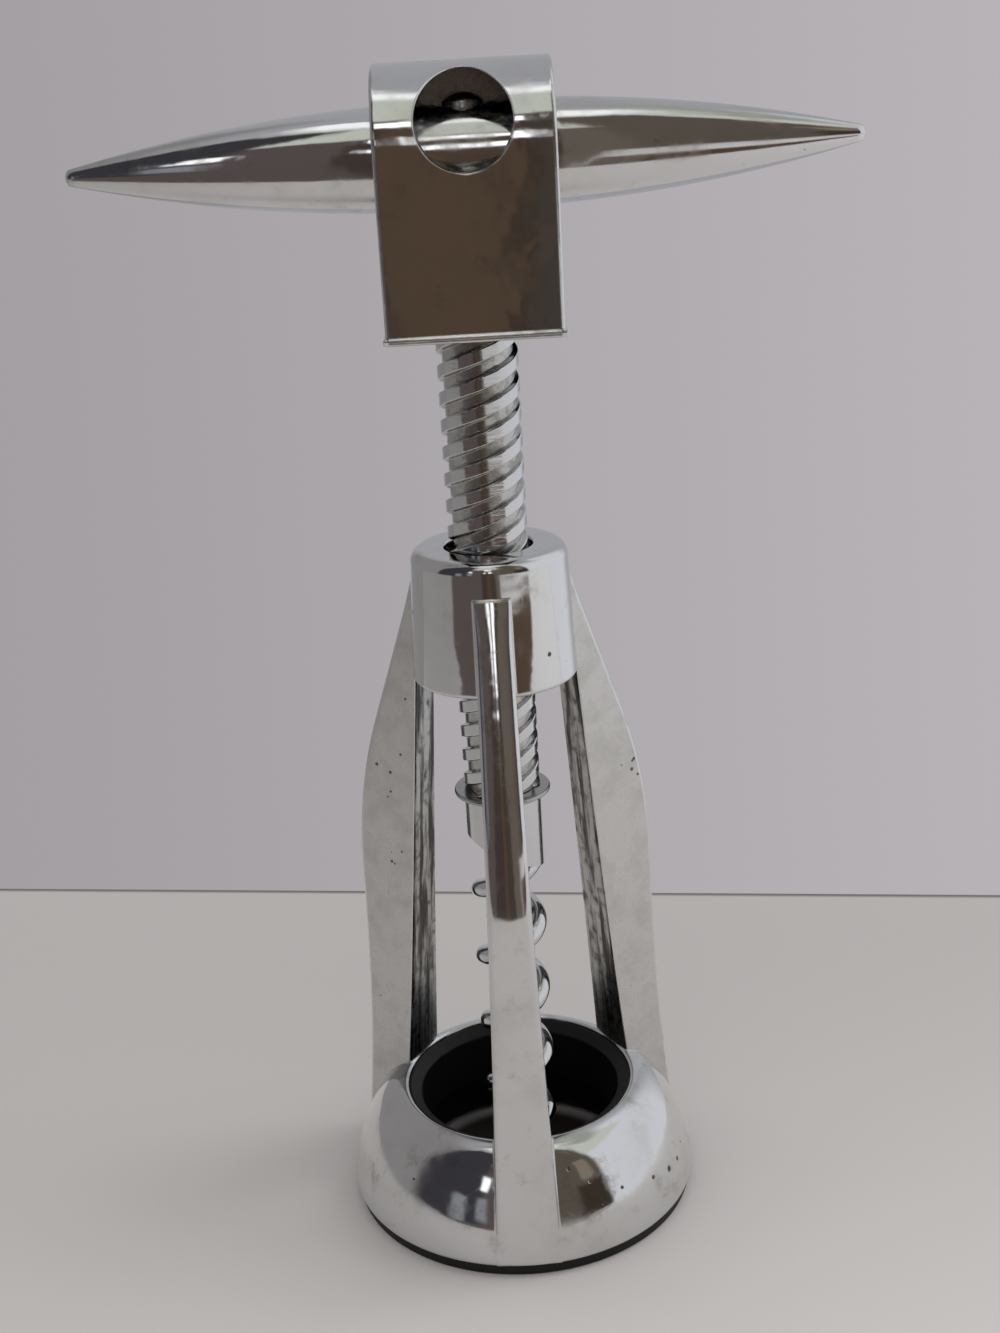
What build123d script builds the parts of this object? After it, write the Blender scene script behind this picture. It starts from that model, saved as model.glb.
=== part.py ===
from math import atan, cos, pi, radians, sin

import os

from build123d import *

os.makedirs("parts", exist_ok=True)

# Millimetres. +Z is up, the origin is on the table under the axis of the screw, and the middle
# one of the three ribs faces -Y, with the handle bar along X.

# Liner that centres the bottle neck
neck_radius = 15.3
neck_depth = 6.4
neck_chamfer = 0.8
cork_step = 1.6
liner_bottom = 0.5
liner_wall = 2.8
liner_clearance = 0.05
liner_ledge_height = 12.6
lip_drop = 0.4
lip_chamfer = 1.1
lip_land = 0.3

# Bell base, outwards from the liner
base_flange = 5.8
base_wall_height = 2.8
base_wall_taper = 0.2
shoulder_inset = 2.3
shoulder_height = 11.0
mouth_clearance = 0.2
mouth_height = 15.6
mouth_land = 0.7

# Foot ring, set in from the base's edge
foot_height = 1.4
foot_inset = 0.6
foot_step = 1.5
foot_tongue_height = 0.9
foot_tongue_inset = 1.0
foot_clearance = 0.03

# Collar
collar_bottom = 75.4
collar_height = 17.2
collar_top_radius = 9.9
collar_bottom_radius = 10.6
collar_round = 1.6
collar_lower_chamfer = 0.5
collar_hole_radius = 5.6
collar_hole_chamfer = 0.35

# Ribs
rib_count = 3
rib_top_height = 88.1
rib_step = 0.3
rib_bury = 0.6
rib_shoulder_reach = 7.3
rib_shoulder_top = 67.3
rib_shoulder_inset = 2.15
rib_shoulder_bottom = 45.0
rib_shin_inset = 1.6
rib_shin_height = 18.0
rib_ankle_inset = 1.0
rib_ankle_height = 10.0
rib_toe_proud = 0.35
rib_toe_slope = 0.1
rib_top_width = 4.6
rib_waist_width = 5.7
rib_waist_height = 47.0
rib_foot_width = 8.8
rib_edge_chamfer = 0.35

# Lead screw and its nut
thread_starts = 3
thread_lead = 10.0
screw_radius = 5.0
thread_depth = 0.7
crest_width = 1.65
ridge_foot_width = 1.95
thread_slack = 0.2
thread_phase = 26.0
nut_radius = 8.0
nut_length = 12.0
nut_roof = 3.0
nut_clearance = 0.05
nut_chamfer = 0.5
ring_wire = 1.2
ring_inner_radius = 6.0
ring_groove_depth = 0.6
ring_gap_angle = 24.0
spigot_bore_radius = 2.6
spigot_bore_depth = 9.0

# Stop washer and worm
washer_top = 59.6
washer_thickness = 0.6
washer_radius = 6.3
washer_gap = 0.1
worm_radius = 5.0
worm_wire_radius = 1.3
worm_pitch = thread_lead
worm_turns = 4
worm_entry_height = 49.7
worm_buried_angle = 45.0
worm_taper_angle = 75.0
worm_point_radius = 0.2
worm_wire_sides = 10
stub_radius = 5.05
spigot_radius = 2.55
spigot_length = 8.0

# Head block and handle bar
head_width = 20.8
head_depth = 21.5
head_bottom = 119.4
bar_height = 139.5
head_chamfer = 0.4
head_rim_height = 0.8
head_rim_proud = 0.25
bar_radius = 6.05
bar_clearance = 0.03
bar_length = 93.6
bar_tip_radius = 0.95
bar_tip_chamfer = 0.4
bar_taper_cones = 7
bar_belly = (31.5, 3.95)
window_radius = 5.6
window_height = 143.7
window_back = 3.2
shank_radius = 4.2
shank_length = 7.0
shank_clearance = 0.03
tenon_radius = 2.5
tenon_clearance = 0.05
stud_radius = 1.5
stud_clearance = 0.03
seat_depth = 1.0
seat_radius = 3.1
cap_radius = 2.45
cap_height = 2.1
cap_skin = 0.6

# Heights and radii that follow from the sizes above
collar_top = collar_bottom + collar_height
washer_bottom = washer_top - washer_thickness
neck_top = liner_bottom + neck_depth
liner_radius = neck_radius + liner_wall
cork_radius = neck_radius - cork_step
mouth_radius = neck_radius + mouth_clearance
base_radius = liner_radius + base_flange
shoulder_radius = base_radius - shoulder_inset
foot_outer_radius = base_radius - foot_inset
foot_inner_radius = liner_radius + foot_step
rib_shoulder_start = (collar_bottom_radius + rib_shoulder_reach, rib_shoulder_top)
rib_shoulder_end = (base_radius - rib_shoulder_inset, rib_shoulder_bottom)
rib_shin = (base_radius - rib_shin_inset, rib_shin_height)
rib_ankle = (base_radius - rib_ankle_inset, rib_ankle_height)
liner_top = mouth_height - lip_drop
nut_top = collar_top - nut_roof
nut_bottom = nut_top - nut_length
ring_top = nut_bottom
ring_bottom = ring_top - ring_wire
screw_bottom = washer_top + washer_gap
groove_width = thread_lead / thread_starts - ridge_foot_width
ridge_path_radius = screw_radius - thread_depth
ridge_bottom = screw_bottom - crest_width
ridge_top = head_bottom + crest_width
stub_top = washer_bottom - washer_gap
worm_centre_radius = worm_radius - worm_wire_radius
taper_top = worm_entry_height - worm_pitch * worm_turns
tip_height = taper_top - worm_pitch * worm_taper_angle / 360
stub_low = worm_entry_height - worm_wire_radius
stub_high = stub_low + worm_pitch / 2
stub_bottom = stub_low - 1
stub_cut = Plane((0, 0, (stub_low + stub_high) / 2), x_dir=(0, 1, 0), z_dir=(stub_high - stub_low, 0, 2 * stub_radius))
head_crown = head_depth / 2
seat_height = bar_height + bar_radius - seat_depth
tenon_top = seat_height - 0.4
stud_top = seat_height + cap_height - cap_skin - 0.1


def foot_section(inner, outer, bottom, top, tongue_gap):
    """Closed outline of the foot ring's section, or of its groove when the tongue gap is positive."""
    tongue_inner = inner + foot_tongue_inset - tongue_gap
    tongue_outer = outer - foot_tongue_inset + tongue_gap
    tongue_top = top + foot_tongue_height + tongue_gap
    Polyline(
        (inner, bottom),
        (outer, bottom),
        (outer, top),
        (tongue_outer, top),
        (tongue_outer, tongue_top),
        (tongue_inner, tongue_top),
        (tongue_inner, top),
        (inner, top),
        close=True,
    )


def collar_radius(height):
    """Outer radius of the slightly conical collar."""
    share = (collar_top - height) / collar_height
    return collar_top_radius + share * (collar_bottom_radius - collar_top_radius)


def rib_inner_radius(height):
    """Inner face of a rib: a straight line from the collar's lower edge to the mouth of the base."""
    share = (collar_bottom - height) / (collar_bottom - mouth_height)
    return collar_bottom_radius + share * (mouth_radius - collar_bottom_radius)


def ridge_outline(inner_radius, outer_radius, inner_width, outer_width):
    """A ridge's section across its helical path. The widths are along the screw's axis, so they shrink
    by the cosine of the helix angle."""
    squeeze = cos(atan(thread_lead / (2 * pi * ridge_path_radius))) / 2
    Polyline(
        (inner_radius - ridge_path_radius, -inner_width * squeeze),
        (outer_radius - ridge_path_radius, -outer_width * squeeze),
        (outer_radius - ridge_path_radius, outer_width * squeeze),
        (inner_radius - ridge_path_radius, inner_width * squeeze),
        close=True,
    )


def start_angle(height):
    """Direction of the screw's first ridge at a height."""
    return thread_phase + 360 * height / thread_lead


# One rib, cut from its side view and its front view
with BuildPart() as rib:
    rib_top_radius = collar_radius(rib_top_height) + rib_step
    heel_height = mouth_height - 2 * mouth_land
    with BuildSketch(Plane.YZ):
        with BuildLine():
            flank = Line((-rib_top_radius, rib_top_height), (-rib_shoulder_start[0], rib_shoulder_start[1]))
            shoulder = TangentArc(
                flank @ 1,
                (-rib_shoulder_end[0], rib_shoulder_end[1]),
                tangent=flank % 1,
            )
            shin = Spline(
                shoulder @ 1,
                (-rib_shin[0], rib_shin[1]),
                (-rib_ankle[0], rib_ankle[1]),
                (-(base_radius + rib_toe_proud), foot_height),
                tangents=[shoulder % 1, (-rib_toe_slope, -1)],
            )
            Polyline(
                shin @ 1,
                (-foot_outer_radius, foot_height),
                (-(rib_inner_radius(heel_height)), heel_height),
                (-rib_inner_radius(collar_bottom), collar_bottom),
                (-(collar_bottom_radius - rib_bury), collar_bottom + rib_bury),
                (-(collar_radius(rib_top_height) - rib_bury), rib_top_height),
                (-rib_top_radius, rib_top_height),
            )
        make_face()
    extrude(amount=rib_foot_width / 2, both=True)
    with BuildSketch(Plane.XZ):
        with BuildLine():
            right = ThreePointArc(
                (rib_top_width / 2, rib_top_height),
                (rib_waist_width / 2, rib_waist_height),
                (rib_foot_width / 2, foot_height),
            )
            left = ThreePointArc(
                (-rib_top_width / 2, rib_top_height),
                (-rib_waist_width / 2, rib_waist_height),
                (-rib_foot_width / 2, foot_height),
            )
            Line(left @ 0, right @ 0)
            Line(left @ 1, right @ 1)
        make_face()
    extrude(amount=base_radius * 1.2, mode=Mode.INTERSECT)
    outer_faces = rib.faces().filter_by(lambda f: f.normal_at(f.center()).Y < -0.8)
    long_edges = outer_faces.edges().filter_by(lambda e: abs(e.tangent_at(0.5).Z) > 0.7)
    chamfer(long_edges, length=rib_edge_chamfer)

# Cage: collar, three ribs and bell base in one casting, then its hollows
with BuildPart() as cage:
    with BuildSketch(Plane.XZ):
        with BuildLine():
            wall = Line((base_radius, foot_height), (base_radius - base_wall_taper, foot_height + base_wall_height))
            dome = ThreePointArc(
                wall @ 1,
                (shoulder_radius, shoulder_height),
                (mouth_radius + mouth_land, mouth_height),
            )
            Polyline(dome @ 1, (0, mouth_height), (0, foot_height), wall @ 0)
        make_face()
    revolve(axis=Axis.Z)
    with BuildSketch(Plane.XZ):
        with BuildLine():
            Polyline(
                (0, collar_bottom),
                (collar_bottom_radius, collar_bottom),
                (collar_top_radius, collar_top),
                (0, collar_top),
                close=True,
            )
        make_face()
    revolve(axis=Axis.Z)
    collar_edges = cage.edges().filter_by(GeomType.CIRCLE)
    fillet(collar_edges.sort_by(Axis.Z)[-1], radius=collar_round)
    lower_rim = collar_edges.filter_by_position(Axis.Z, collar_bottom - 0.01, collar_bottom + 0.01)
    chamfer(lower_rim, length=collar_lower_chamfer)
    with PolarLocations(0, rib_count):
        add(rib.part)
    with BuildSketch(Plane.XZ):
        with BuildLine():
            Polyline(
                (0, 0),
                (liner_radius + liner_clearance, 0),
                (liner_radius + liner_clearance, liner_ledge_height),
                (mouth_radius, liner_ledge_height),
                (mouth_radius, mouth_height - mouth_land / 2),
                (mouth_radius + mouth_land / 2, mouth_height),
                (mouth_radius + mouth_land / 2, mouth_height + mouth_land),
                (0, mouth_height + mouth_land),
                close=True,
            )
        make_face()
    revolve(axis=Axis.Z, mode=Mode.SUBTRACT)
    with BuildSketch(Plane.XZ):
        with BuildLine():
            foot_section(
                foot_inner_radius,
                foot_outer_radius,
                foot_height - foot_tongue_height,
                foot_height,
                foot_clearance,
            )
        make_face()
    revolve(axis=Axis.Z, mode=Mode.SUBTRACT)
    with BuildSketch(Plane.XZ):
        with BuildLine():
            Polyline(
                (0, collar_bottom - 1),
                (nut_radius + nut_clearance, collar_bottom - 1),
                (nut_radius + nut_clearance, ring_bottom),
                (nut_radius + ring_groove_depth, ring_bottom),
                (nut_radius + ring_groove_depth, ring_top),
                (nut_radius + nut_clearance, ring_top),
                (nut_radius + nut_clearance, nut_top),
                (collar_hole_radius, nut_top),
                (collar_hole_radius, collar_top - collar_hole_chamfer),
                (collar_hole_radius + 2 * collar_hole_chamfer, collar_top + collar_hole_chamfer),
                (0, collar_top + collar_hole_chamfer),
                close=True,
            )
        make_face()
    revolve(axis=Axis.Z, mode=Mode.SUBTRACT)
cage.part.label = "cage"
export_step(cage.part, "parts/cage.step")

# Foot ring, pressed into the groove under the base
with BuildPart() as foot_ring:
    with BuildSketch(Plane.XZ):
        with BuildLine():
            foot_section(foot_inner_radius, foot_outer_radius, 0, foot_height, 0)
        make_face()
    revolve(axis=Axis.Z)
foot_ring.part.label = "foot_ring"
export_step(foot_ring.part, "parts/foot_ring.step")

# Liner: guides the bottle's lip below and shows its chamfered edge in the mouth above
with BuildPart() as bottle_guide:
    with BuildSketch(Plane.XZ):
        with BuildLine():
            Polyline(
                (neck_radius + neck_chamfer, liner_bottom),
                (liner_radius, liner_bottom),
                (liner_radius, liner_ledge_height),
                (mouth_radius - liner_clearance, liner_ledge_height),
                (mouth_radius - liner_clearance, liner_top),
                (mouth_radius - liner_clearance - lip_land, liner_top),
                (cork_radius, liner_top - lip_chamfer),
                (cork_radius, neck_top),
                (neck_radius, neck_top),
                (neck_radius, liner_bottom + neck_chamfer),
                close=True,
            )
        make_face()
    revolve(axis=Axis.Z)
bottle_guide.part.label = "bottle_guide"
export_step(bottle_guide.part, "parts/bottle_guide.step")

# One ridge of the nut's thread, which runs in a groove of the screw
nut_ridge_bottom = nut_bottom - thread_depth
with BuildPart() as nut_ridge:
    with BuildLine() as nut_path:
        Helix(
            pitch=thread_lead,
            height=nut_length + 2 * thread_depth,
            radius=ridge_path_radius,
            center=(0, 0, nut_ridge_bottom),
        )
    with BuildSketch(Plane(nut_path.line @ 0, x_dir=(1, 0, 0), z_dir=nut_path.line % 0)):
        with BuildLine():
            ridge_outline(
                ridge_path_radius + thread_slack,
                screw_radius + thread_slack + thread_depth,
                groove_width - 2 * thread_slack,
                groove_width - 2 * thread_slack + thread_depth,
            )
        make_face()
    sweep(path=nut_path.line, is_frenet=True)

# Nut in the collar: its bore clears the screw's crests
with BuildPart() as thread_nut:
    with PolarLocations(0, thread_starts, start_angle(nut_ridge_bottom) + 180 / thread_starts):
        add(nut_ridge.part)
    with BuildSketch(Plane.XY.offset(nut_bottom)):
        Circle(nut_radius)
    extrude(amount=nut_length, mode=Mode.INTERSECT)
    with BuildSketch(Plane.XY.offset(nut_bottom)):
        Circle(nut_radius)
        Circle(screw_radius + thread_slack, mode=Mode.SUBTRACT)
    extrude(amount=nut_length)
thread_nut.part.label = "thread_nut"
export_step(thread_nut.part, "parts/thread_nut.step")

# Split ring that keeps the nut in the collar
with BuildPart() as nut_ring:
    with BuildSketch(Plane.XY.offset(ring_bottom)):
        Circle(nut_radius + ring_groove_depth - nut_clearance)
        Circle(ring_inner_radius, mode=Mode.SUBTRACT)
        reach = nut_radius * 2
        half_gap = radians(ring_gap_angle / 2)
        with BuildLine():
            Polyline(
                (0, 0),
                (reach * cos(half_gap), reach * sin(half_gap)),
                (reach * cos(half_gap), -reach * sin(half_gap)),
                close=True,
            )
        make_face(mode=Mode.SUBTRACT)
    extrude(amount=ring_wire)
nut_ring.part.label = "nut_ring"
export_step(nut_ring.part, "parts/nut_ring.step")

# One ridge of the lead screw's thread, a little longer than the threaded length
with BuildPart() as screw_ridge:
    with BuildLine() as screw_path:
        Helix(
            pitch=thread_lead,
            height=ridge_top - ridge_bottom,
            radius=ridge_path_radius,
            center=(0, 0, ridge_bottom),
        )
    with BuildSketch(Plane(screw_path.line @ 0, x_dir=(1, 0, 0), z_dir=screw_path.line % 0)):
        with BuildLine():
            ridge_outline(
                ridge_path_radius - thread_depth,
                screw_radius,
                ridge_foot_width + thread_depth / 3,
                crest_width,
            )
        make_face()
    sweep(path=screw_path.line, is_frenet=True)

# Lead screw: threaded length, shank in the head block, tenon through the bar, stud for the cap nut
with BuildPart() as lead_screw:
    with PolarLocations(0, thread_starts, start_angle(ridge_bottom)):
        add(screw_ridge.part)
    with BuildSketch(Plane.XY.offset(screw_bottom)):
        Circle(screw_radius + thread_depth)
    extrude(amount=head_bottom - screw_bottom, mode=Mode.INTERSECT)
    with BuildSketch(Plane.XY.offset(screw_bottom)):
        Circle(ridge_path_radius)
    extrude(amount=head_bottom - screw_bottom)
    with BuildSketch(Plane.XZ):
        with BuildLine():
            Polyline(
                (0, head_bottom),
                (shank_radius, head_bottom),
                (shank_radius, head_bottom + shank_length),
                (tenon_radius, head_bottom + shank_length),
                (tenon_radius, tenon_top),
                (stud_radius, tenon_top),
                (stud_radius, stud_top),
                (0, stud_top),
                close=True,
            )
        make_face()
    revolve(axis=Axis.Z)
    with BuildSketch(Plane.XY.offset(screw_bottom)):
        Circle(spigot_bore_radius)
    extrude(amount=spigot_bore_depth, mode=Mode.SUBTRACT)
lead_screw.part.label = "lead_screw"
export_step(lead_screw.part, "parts/lead_screw.step")

# Stop washer, loose between the screw and the worm's stub
with BuildPart() as stop_washer:
    with BuildSketch(Plane.XY.offset(washer_bottom)):
        Circle(washer_radius)
        Circle(spigot_radius + washer_gap, mode=Mode.SUBTRACT)
    extrude(amount=washer_thickness)
stop_washer.part.label = "stop_washer"
export_step(stop_washer.part, "parts/stop_washer.step")

# The worm's tapered point, before it is turned to its place below the first full coil
with BuildPart() as worm_point:
    with BuildLine() as taper:
        Helix(
            pitch=worm_pitch,
            height=taper_top - tip_height,
            radius=worm_centre_radius,
            center=(0, 0, tip_height),
        )
    with BuildSketch(Plane(taper.line @ 0, z_dir=taper.line % 0)) as point:
        RegularPolygon(worm_point_radius, worm_wire_sides)
    with BuildSketch(Plane(taper.line @ 1, z_dir=taper.line % 1)) as full_wire:
        RegularPolygon(worm_wire_radius, worm_wire_sides)
    sweep(sections=[point.sketch, full_wire.sketch], path=taper.line, multisection=True, is_frenet=True)

# Worm: a pointed wire helix that runs into a slanted stub, with a spigot up into the lead screw
with BuildPart() as worm:
    with BuildSketch(Plane.XY.offset(stub_top)):
        Circle(stub_radius)
    extrude(amount=stub_bottom - stub_top)
    split(bisect_by=stub_cut, keep=Keep.TOP)
    with BuildLine() as coil:
        Helix(
            pitch=worm_pitch,
            height=worm_pitch * (worm_turns + worm_buried_angle / 360),
            radius=worm_centre_radius,
            center=(0, 0, taper_top),
        )
    with BuildSketch(Plane(coil.line @ 0, z_dir=coil.line % 0)):
        RegularPolygon(worm_wire_radius, worm_wire_sides)
    sweep(path=coil.line, is_frenet=True)
    add(worm_point.part, rotation=(0, 0, -worm_taper_angle))
    with BuildSketch(Plane.XY.offset(stub_top)):
        Circle(spigot_radius)
    extrude(amount=spigot_length)
worm.part.label = "worm"
export_step(worm.part, "parts/worm.step")

# Head block: flat sides, crown concentric with the bar, window bored from the front
with BuildPart() as head_block:
    with BuildSketch(Plane.YZ):
        with BuildLine():
            front = Line((-head_depth / 2, head_bottom), (-head_depth / 2, bar_height))
            crown = ThreePointArc(front @ 1, (0, bar_height + head_crown), (head_depth / 2, bar_height))
            Polyline(crown @ 1, (head_depth / 2, head_bottom), front @ 0)
        make_face()
    extrude(amount=head_width / 2, both=True)
    side_faces = head_block.faces().sort_by(Axis.X)
    chamfer((side_faces[0].edges() + side_faces[-1].edges()), length=head_chamfer)
    with BuildSketch(Plane.XY.offset(head_bottom)):
        Rectangle(head_width + 2 * head_rim_proud, head_depth + 2 * head_rim_proud)
    extrude(amount=head_rim_height)
    with BuildSketch(Plane.YZ.offset(-head_width)):
        with Locations((0, bar_height)):
            Circle(bar_radius + bar_clearance)
    extrude(amount=2 * head_width, mode=Mode.SUBTRACT)
    with BuildSketch(Plane.XZ.offset(-window_back)):
        with Locations((0, window_height)):
            Circle(window_radius)
    extrude(amount=window_back + head_depth, mode=Mode.SUBTRACT)
    with BuildSketch(Plane.XY.offset(head_bottom)):
        Circle(shank_radius + shank_clearance)
    extrude(amount=shank_length, mode=Mode.SUBTRACT)
    with BuildSketch(Plane.XY.offset(head_bottom + shank_length)):
        Circle(tenon_radius + tenon_clearance)
    extrude(amount=bar_height - head_bottom - shank_length, mode=Mode.SUBTRACT)
head_block.part.label = "head_block"
export_step(head_block.part, "parts/head_block.step")

# Handle bar: straight through the block, then a long taper to blunt tips
with BuildPart() as handle_bar:
    half_length = bar_length / 2
    with BuildSketch(Plane.XZ):
        with BuildLine():
            barrel = Line((0, bar_height + bar_radius), (head_width / 2, bar_height + bar_radius))
            taper = ThreePointArc(
                barrel @ 1,
                (bar_belly[0], bar_height + bar_belly[1]),
                (half_length - bar_tip_chamfer, bar_height + bar_tip_radius),
                mode=Mode.PRIVATE,
            )
            cones = Polyline(*[taper @ (k / bar_taper_cones) for k in range(bar_taper_cones + 1)])
            tip = Line(cones @ 1, (half_length, bar_height + bar_tip_radius - bar_tip_chamfer))
            Polyline(tip @ 1, (half_length, bar_height), (0, bar_height), barrel @ 0)
        make_face()
    revolve(axis=Axis((0, 0, bar_height), (1, 0, 0)))
    mirror(about=Plane.YZ)
    with BuildSketch(Plane.XY.offset(bar_height - bar_radius)):
        Circle(tenon_radius + tenon_clearance)
    extrude(amount=2 * bar_radius, mode=Mode.SUBTRACT)
    with BuildSketch(Plane.XY.offset(seat_height)):
        Circle(seat_radius)
    extrude(amount=seat_depth * 2, mode=Mode.SUBTRACT)
handle_bar.part.label = "handle_bar"
export_step(handle_bar.part, "parts/handle_bar.step")

# Domed cap nut on the stud, seen through the window
with BuildPart() as cap_nut:
    with BuildSketch(Plane.XZ):
        dome_rise = cap_height / 2
        dome_radius = (cap_radius**2 + dome_rise**2) / (2 * dome_rise)
        with BuildLine():
            Polyline((0, seat_height), (cap_radius, seat_height), (cap_radius, seat_height + dome_rise))
            RadiusArc((cap_radius, seat_height + dome_rise), (0, seat_height + cap_height), -dome_radius)
            Line((0, seat_height + cap_height), (0, seat_height))
        make_face()
    revolve(axis=Axis.Z)
    with BuildSketch(Plane.XY.offset(seat_height)):
        Circle(stud_radius + stud_clearance)
    extrude(amount=cap_height - cap_skin, mode=Mode.SUBTRACT)
cap_nut.part.label = "cap_nut"
export_step(cap_nut.part, "parts/cap_nut.step")
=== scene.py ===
# %% [markdown]
# # A bell-cage corkscrew in worn chrome
# The tool stands on its own bell base. Three cast ribs carry a collar, a three-start screw runs through
# the collar's nut, and a spindle-shaped bar turns it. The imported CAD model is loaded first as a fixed
# frame: it says where everything is, and the pieces below are the same shapes with the fine edges and
# surfaces that the eye looks for.

# %% The frame
from math import atan2, cos, hypot, pi, radians, sin, sqrt, tan

import bmesh
import bpy
from mathutils import Matrix, Vector


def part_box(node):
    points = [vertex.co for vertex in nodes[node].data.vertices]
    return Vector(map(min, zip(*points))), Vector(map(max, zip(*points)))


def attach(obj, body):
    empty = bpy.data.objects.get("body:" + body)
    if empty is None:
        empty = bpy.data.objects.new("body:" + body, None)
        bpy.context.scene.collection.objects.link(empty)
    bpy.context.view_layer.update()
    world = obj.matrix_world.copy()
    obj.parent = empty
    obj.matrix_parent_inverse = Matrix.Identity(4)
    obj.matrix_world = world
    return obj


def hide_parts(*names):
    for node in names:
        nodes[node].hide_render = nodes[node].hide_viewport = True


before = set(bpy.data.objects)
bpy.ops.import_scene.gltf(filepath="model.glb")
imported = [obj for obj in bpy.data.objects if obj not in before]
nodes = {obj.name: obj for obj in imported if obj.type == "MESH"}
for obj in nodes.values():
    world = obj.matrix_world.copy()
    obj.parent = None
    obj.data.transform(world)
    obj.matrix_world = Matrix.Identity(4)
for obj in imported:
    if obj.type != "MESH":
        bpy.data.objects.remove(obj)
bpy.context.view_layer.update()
MM = 0.001
print("CAD nodes:", sorted(nodes))


# %% [markdown]
# Every outline below is written in millimetres, the way a drawing is, and turned to metres when its
# mesh is made. Heights and widths that the CAD already fixes are read from the frame, so a piece can't
# drift from its node. Two small gaps are named here as well: one for pieces that slip into each other,
# one for pieces that are pressed together.


# %% Reading sizes from the frame
def span(node, axis):
    """Lowest and highest coordinate of a CAD node along an axis (0, 1 or 2), in mm."""
    low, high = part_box(node)
    return low[axis] / MM, high[axis] / MM


foot_bottom = span("foot_ring", 2)[0]
foot_radius = span("foot_ring", 0)[1]
cage_bottom, cage_top = span("cage", 2)
liner_bottom, liner_top = span("bottle_guide", 2)
liner_radius = span("bottle_guide", 0)[1]
nut_radius, nut_top = span("thread_nut", 0)[1], span("thread_nut", 2)[1]
ring_bottom, ring_top = span("nut_ring", 2)
washer_bottom, washer_top = span("stop_washer", 2)
washer_radius = span("stop_washer", 0)[1]
head_bottom = span("head_block", 2)[0]
bar_low, bar_high = span("handle_bar", 2)
bar_reach = span("handle_bar", 0)[1]
cap_bottom, cap_top = span("cap_nut", 2)
cap_radius = span("cap_nut", 0)[1]
bar_height = (bar_low + bar_high) / 2
bar_radius = (bar_high - bar_low) / 2
slip_gap, press_gap = 0.05, 0.03
print(f"collar top {cage_top:.1f} mm, bar axis {bar_height:.1f} mm, bar {2 * bar_reach:.1f} mm long")


# %% [markdown]
# A real casting or turned part has no knife edges: polishing takes every corner down to a small radius,
# and that radius is what catches a thin line of light. So outlines are written as corners, most of them
# with a radius, and a small function rounds them before the outline is spun or extruded.


# %% Rounded outlines
def arc_through(start, middle, end, steps):
    """Points of the circle through three points, without the first one."""
    (ax, ay), (bx, by), (cx, cy) = start, middle, end
    d = 2 * (ax * (by - cy) + bx * (cy - ay) + cx * (ay - by))
    ux = ((ax**2 + ay**2) * (by - cy) + (bx**2 + by**2) * (cy - ay) + (cx**2 + cy**2) * (ay - by)) / d
    uy = ((ax**2 + ay**2) * (cx - bx) + (bx**2 + by**2) * (ax - cx) + (cx**2 + cy**2) * (bx - ax)) / d
    radius = hypot(ax - ux, ay - uy)
    first = atan2(ay - uy, ax - ux)
    turn = (atan2(cy - uy, cx - ux) - first) % (2 * pi)
    if (atan2(by - uy, bx - ux) - first) % (2 * pi) > turn:
        turn -= 2 * pi
    angles = [first + turn * k / steps for k in range(1, steps + 1)]
    return [(ux + radius * cos(a), uy + radius * sin(a)) for a in angles]


def rounded(corners, steps=4):
    """Closed outline from (x, y) or (x, y, corner radius) points."""
    points = []
    for i, corner in enumerate(corners):
        if len(corner) == 2:
            points.append(corner)
            continue
        here = Vector(corner[:2])
        back = (Vector(corners[i - 1][:2]) - here).normalized()
        ahead = (Vector(corners[(i + 1) % len(corners)][:2]) - here).normalized()
        half_angle = back.angle(ahead) / 2
        reach = corner[2] / tan(half_angle)
        centre = here + (back + ahead).normalized() * corner[2] / sin(half_angle)
        start, end = here + back * reach, here + ahead * reach
        middle = centre + (here - centre).normalized() * corner[2]
        points += [tuple(start)] + arc_through(start, middle, end, steps)
    return points


# %% [markdown]
# Turned and cast round parts are solids of revolution. `lathe` rounds an outline's corners and spins it
# about the Z axis. A point on the axis becomes one vertex, so that the pole closes. Normals are
# weighted by face area, so that a wide flat stays flat and only the narrow rounding between two flats
# turns the light.


# %% Making meshes
def new_object(name, data):
    made = bpy.data.objects.new(name, data)
    bpy.context.scene.collection.objects.link(made)
    return made


def mesh_object(name, mesh):
    print(f"{name}: {len(mesh.polygons)} faces")
    return new_object(name, mesh)


def applied(source, name):
    """A plain mesh of the source with its modifiers carried out; the source is removed."""
    bpy.context.view_layer.update()
    evaluated = source.evaluated_get(bpy.context.evaluated_depsgraph_get())
    mesh = bpy.data.meshes.new_from_object(evaluated)
    bpy.data.objects.remove(source)
    return mesh_object(name, mesh)


def weighted(piece, sharp_angle=35):
    """Smooth shading with normals weighted by face area; corners above the angle stay sharp."""
    piece.data.polygons.foreach_set("use_smooth", [True] * len(piece.data.polygons))
    piece.data.set_sharp_from_angle(angle=radians(sharp_angle))
    piece.modifiers.new("weighted", "WEIGHTED_NORMAL").keep_sharp = True
    return applied(piece, piece.name)


def bmesh_object(name, shape):
    bmesh.ops.recalc_face_normals(shape, faces=shape.faces)
    mesh = bpy.data.meshes.new(name)
    shape.to_mesh(mesh)
    shape.free()
    return mesh_object(name, mesh)


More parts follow.
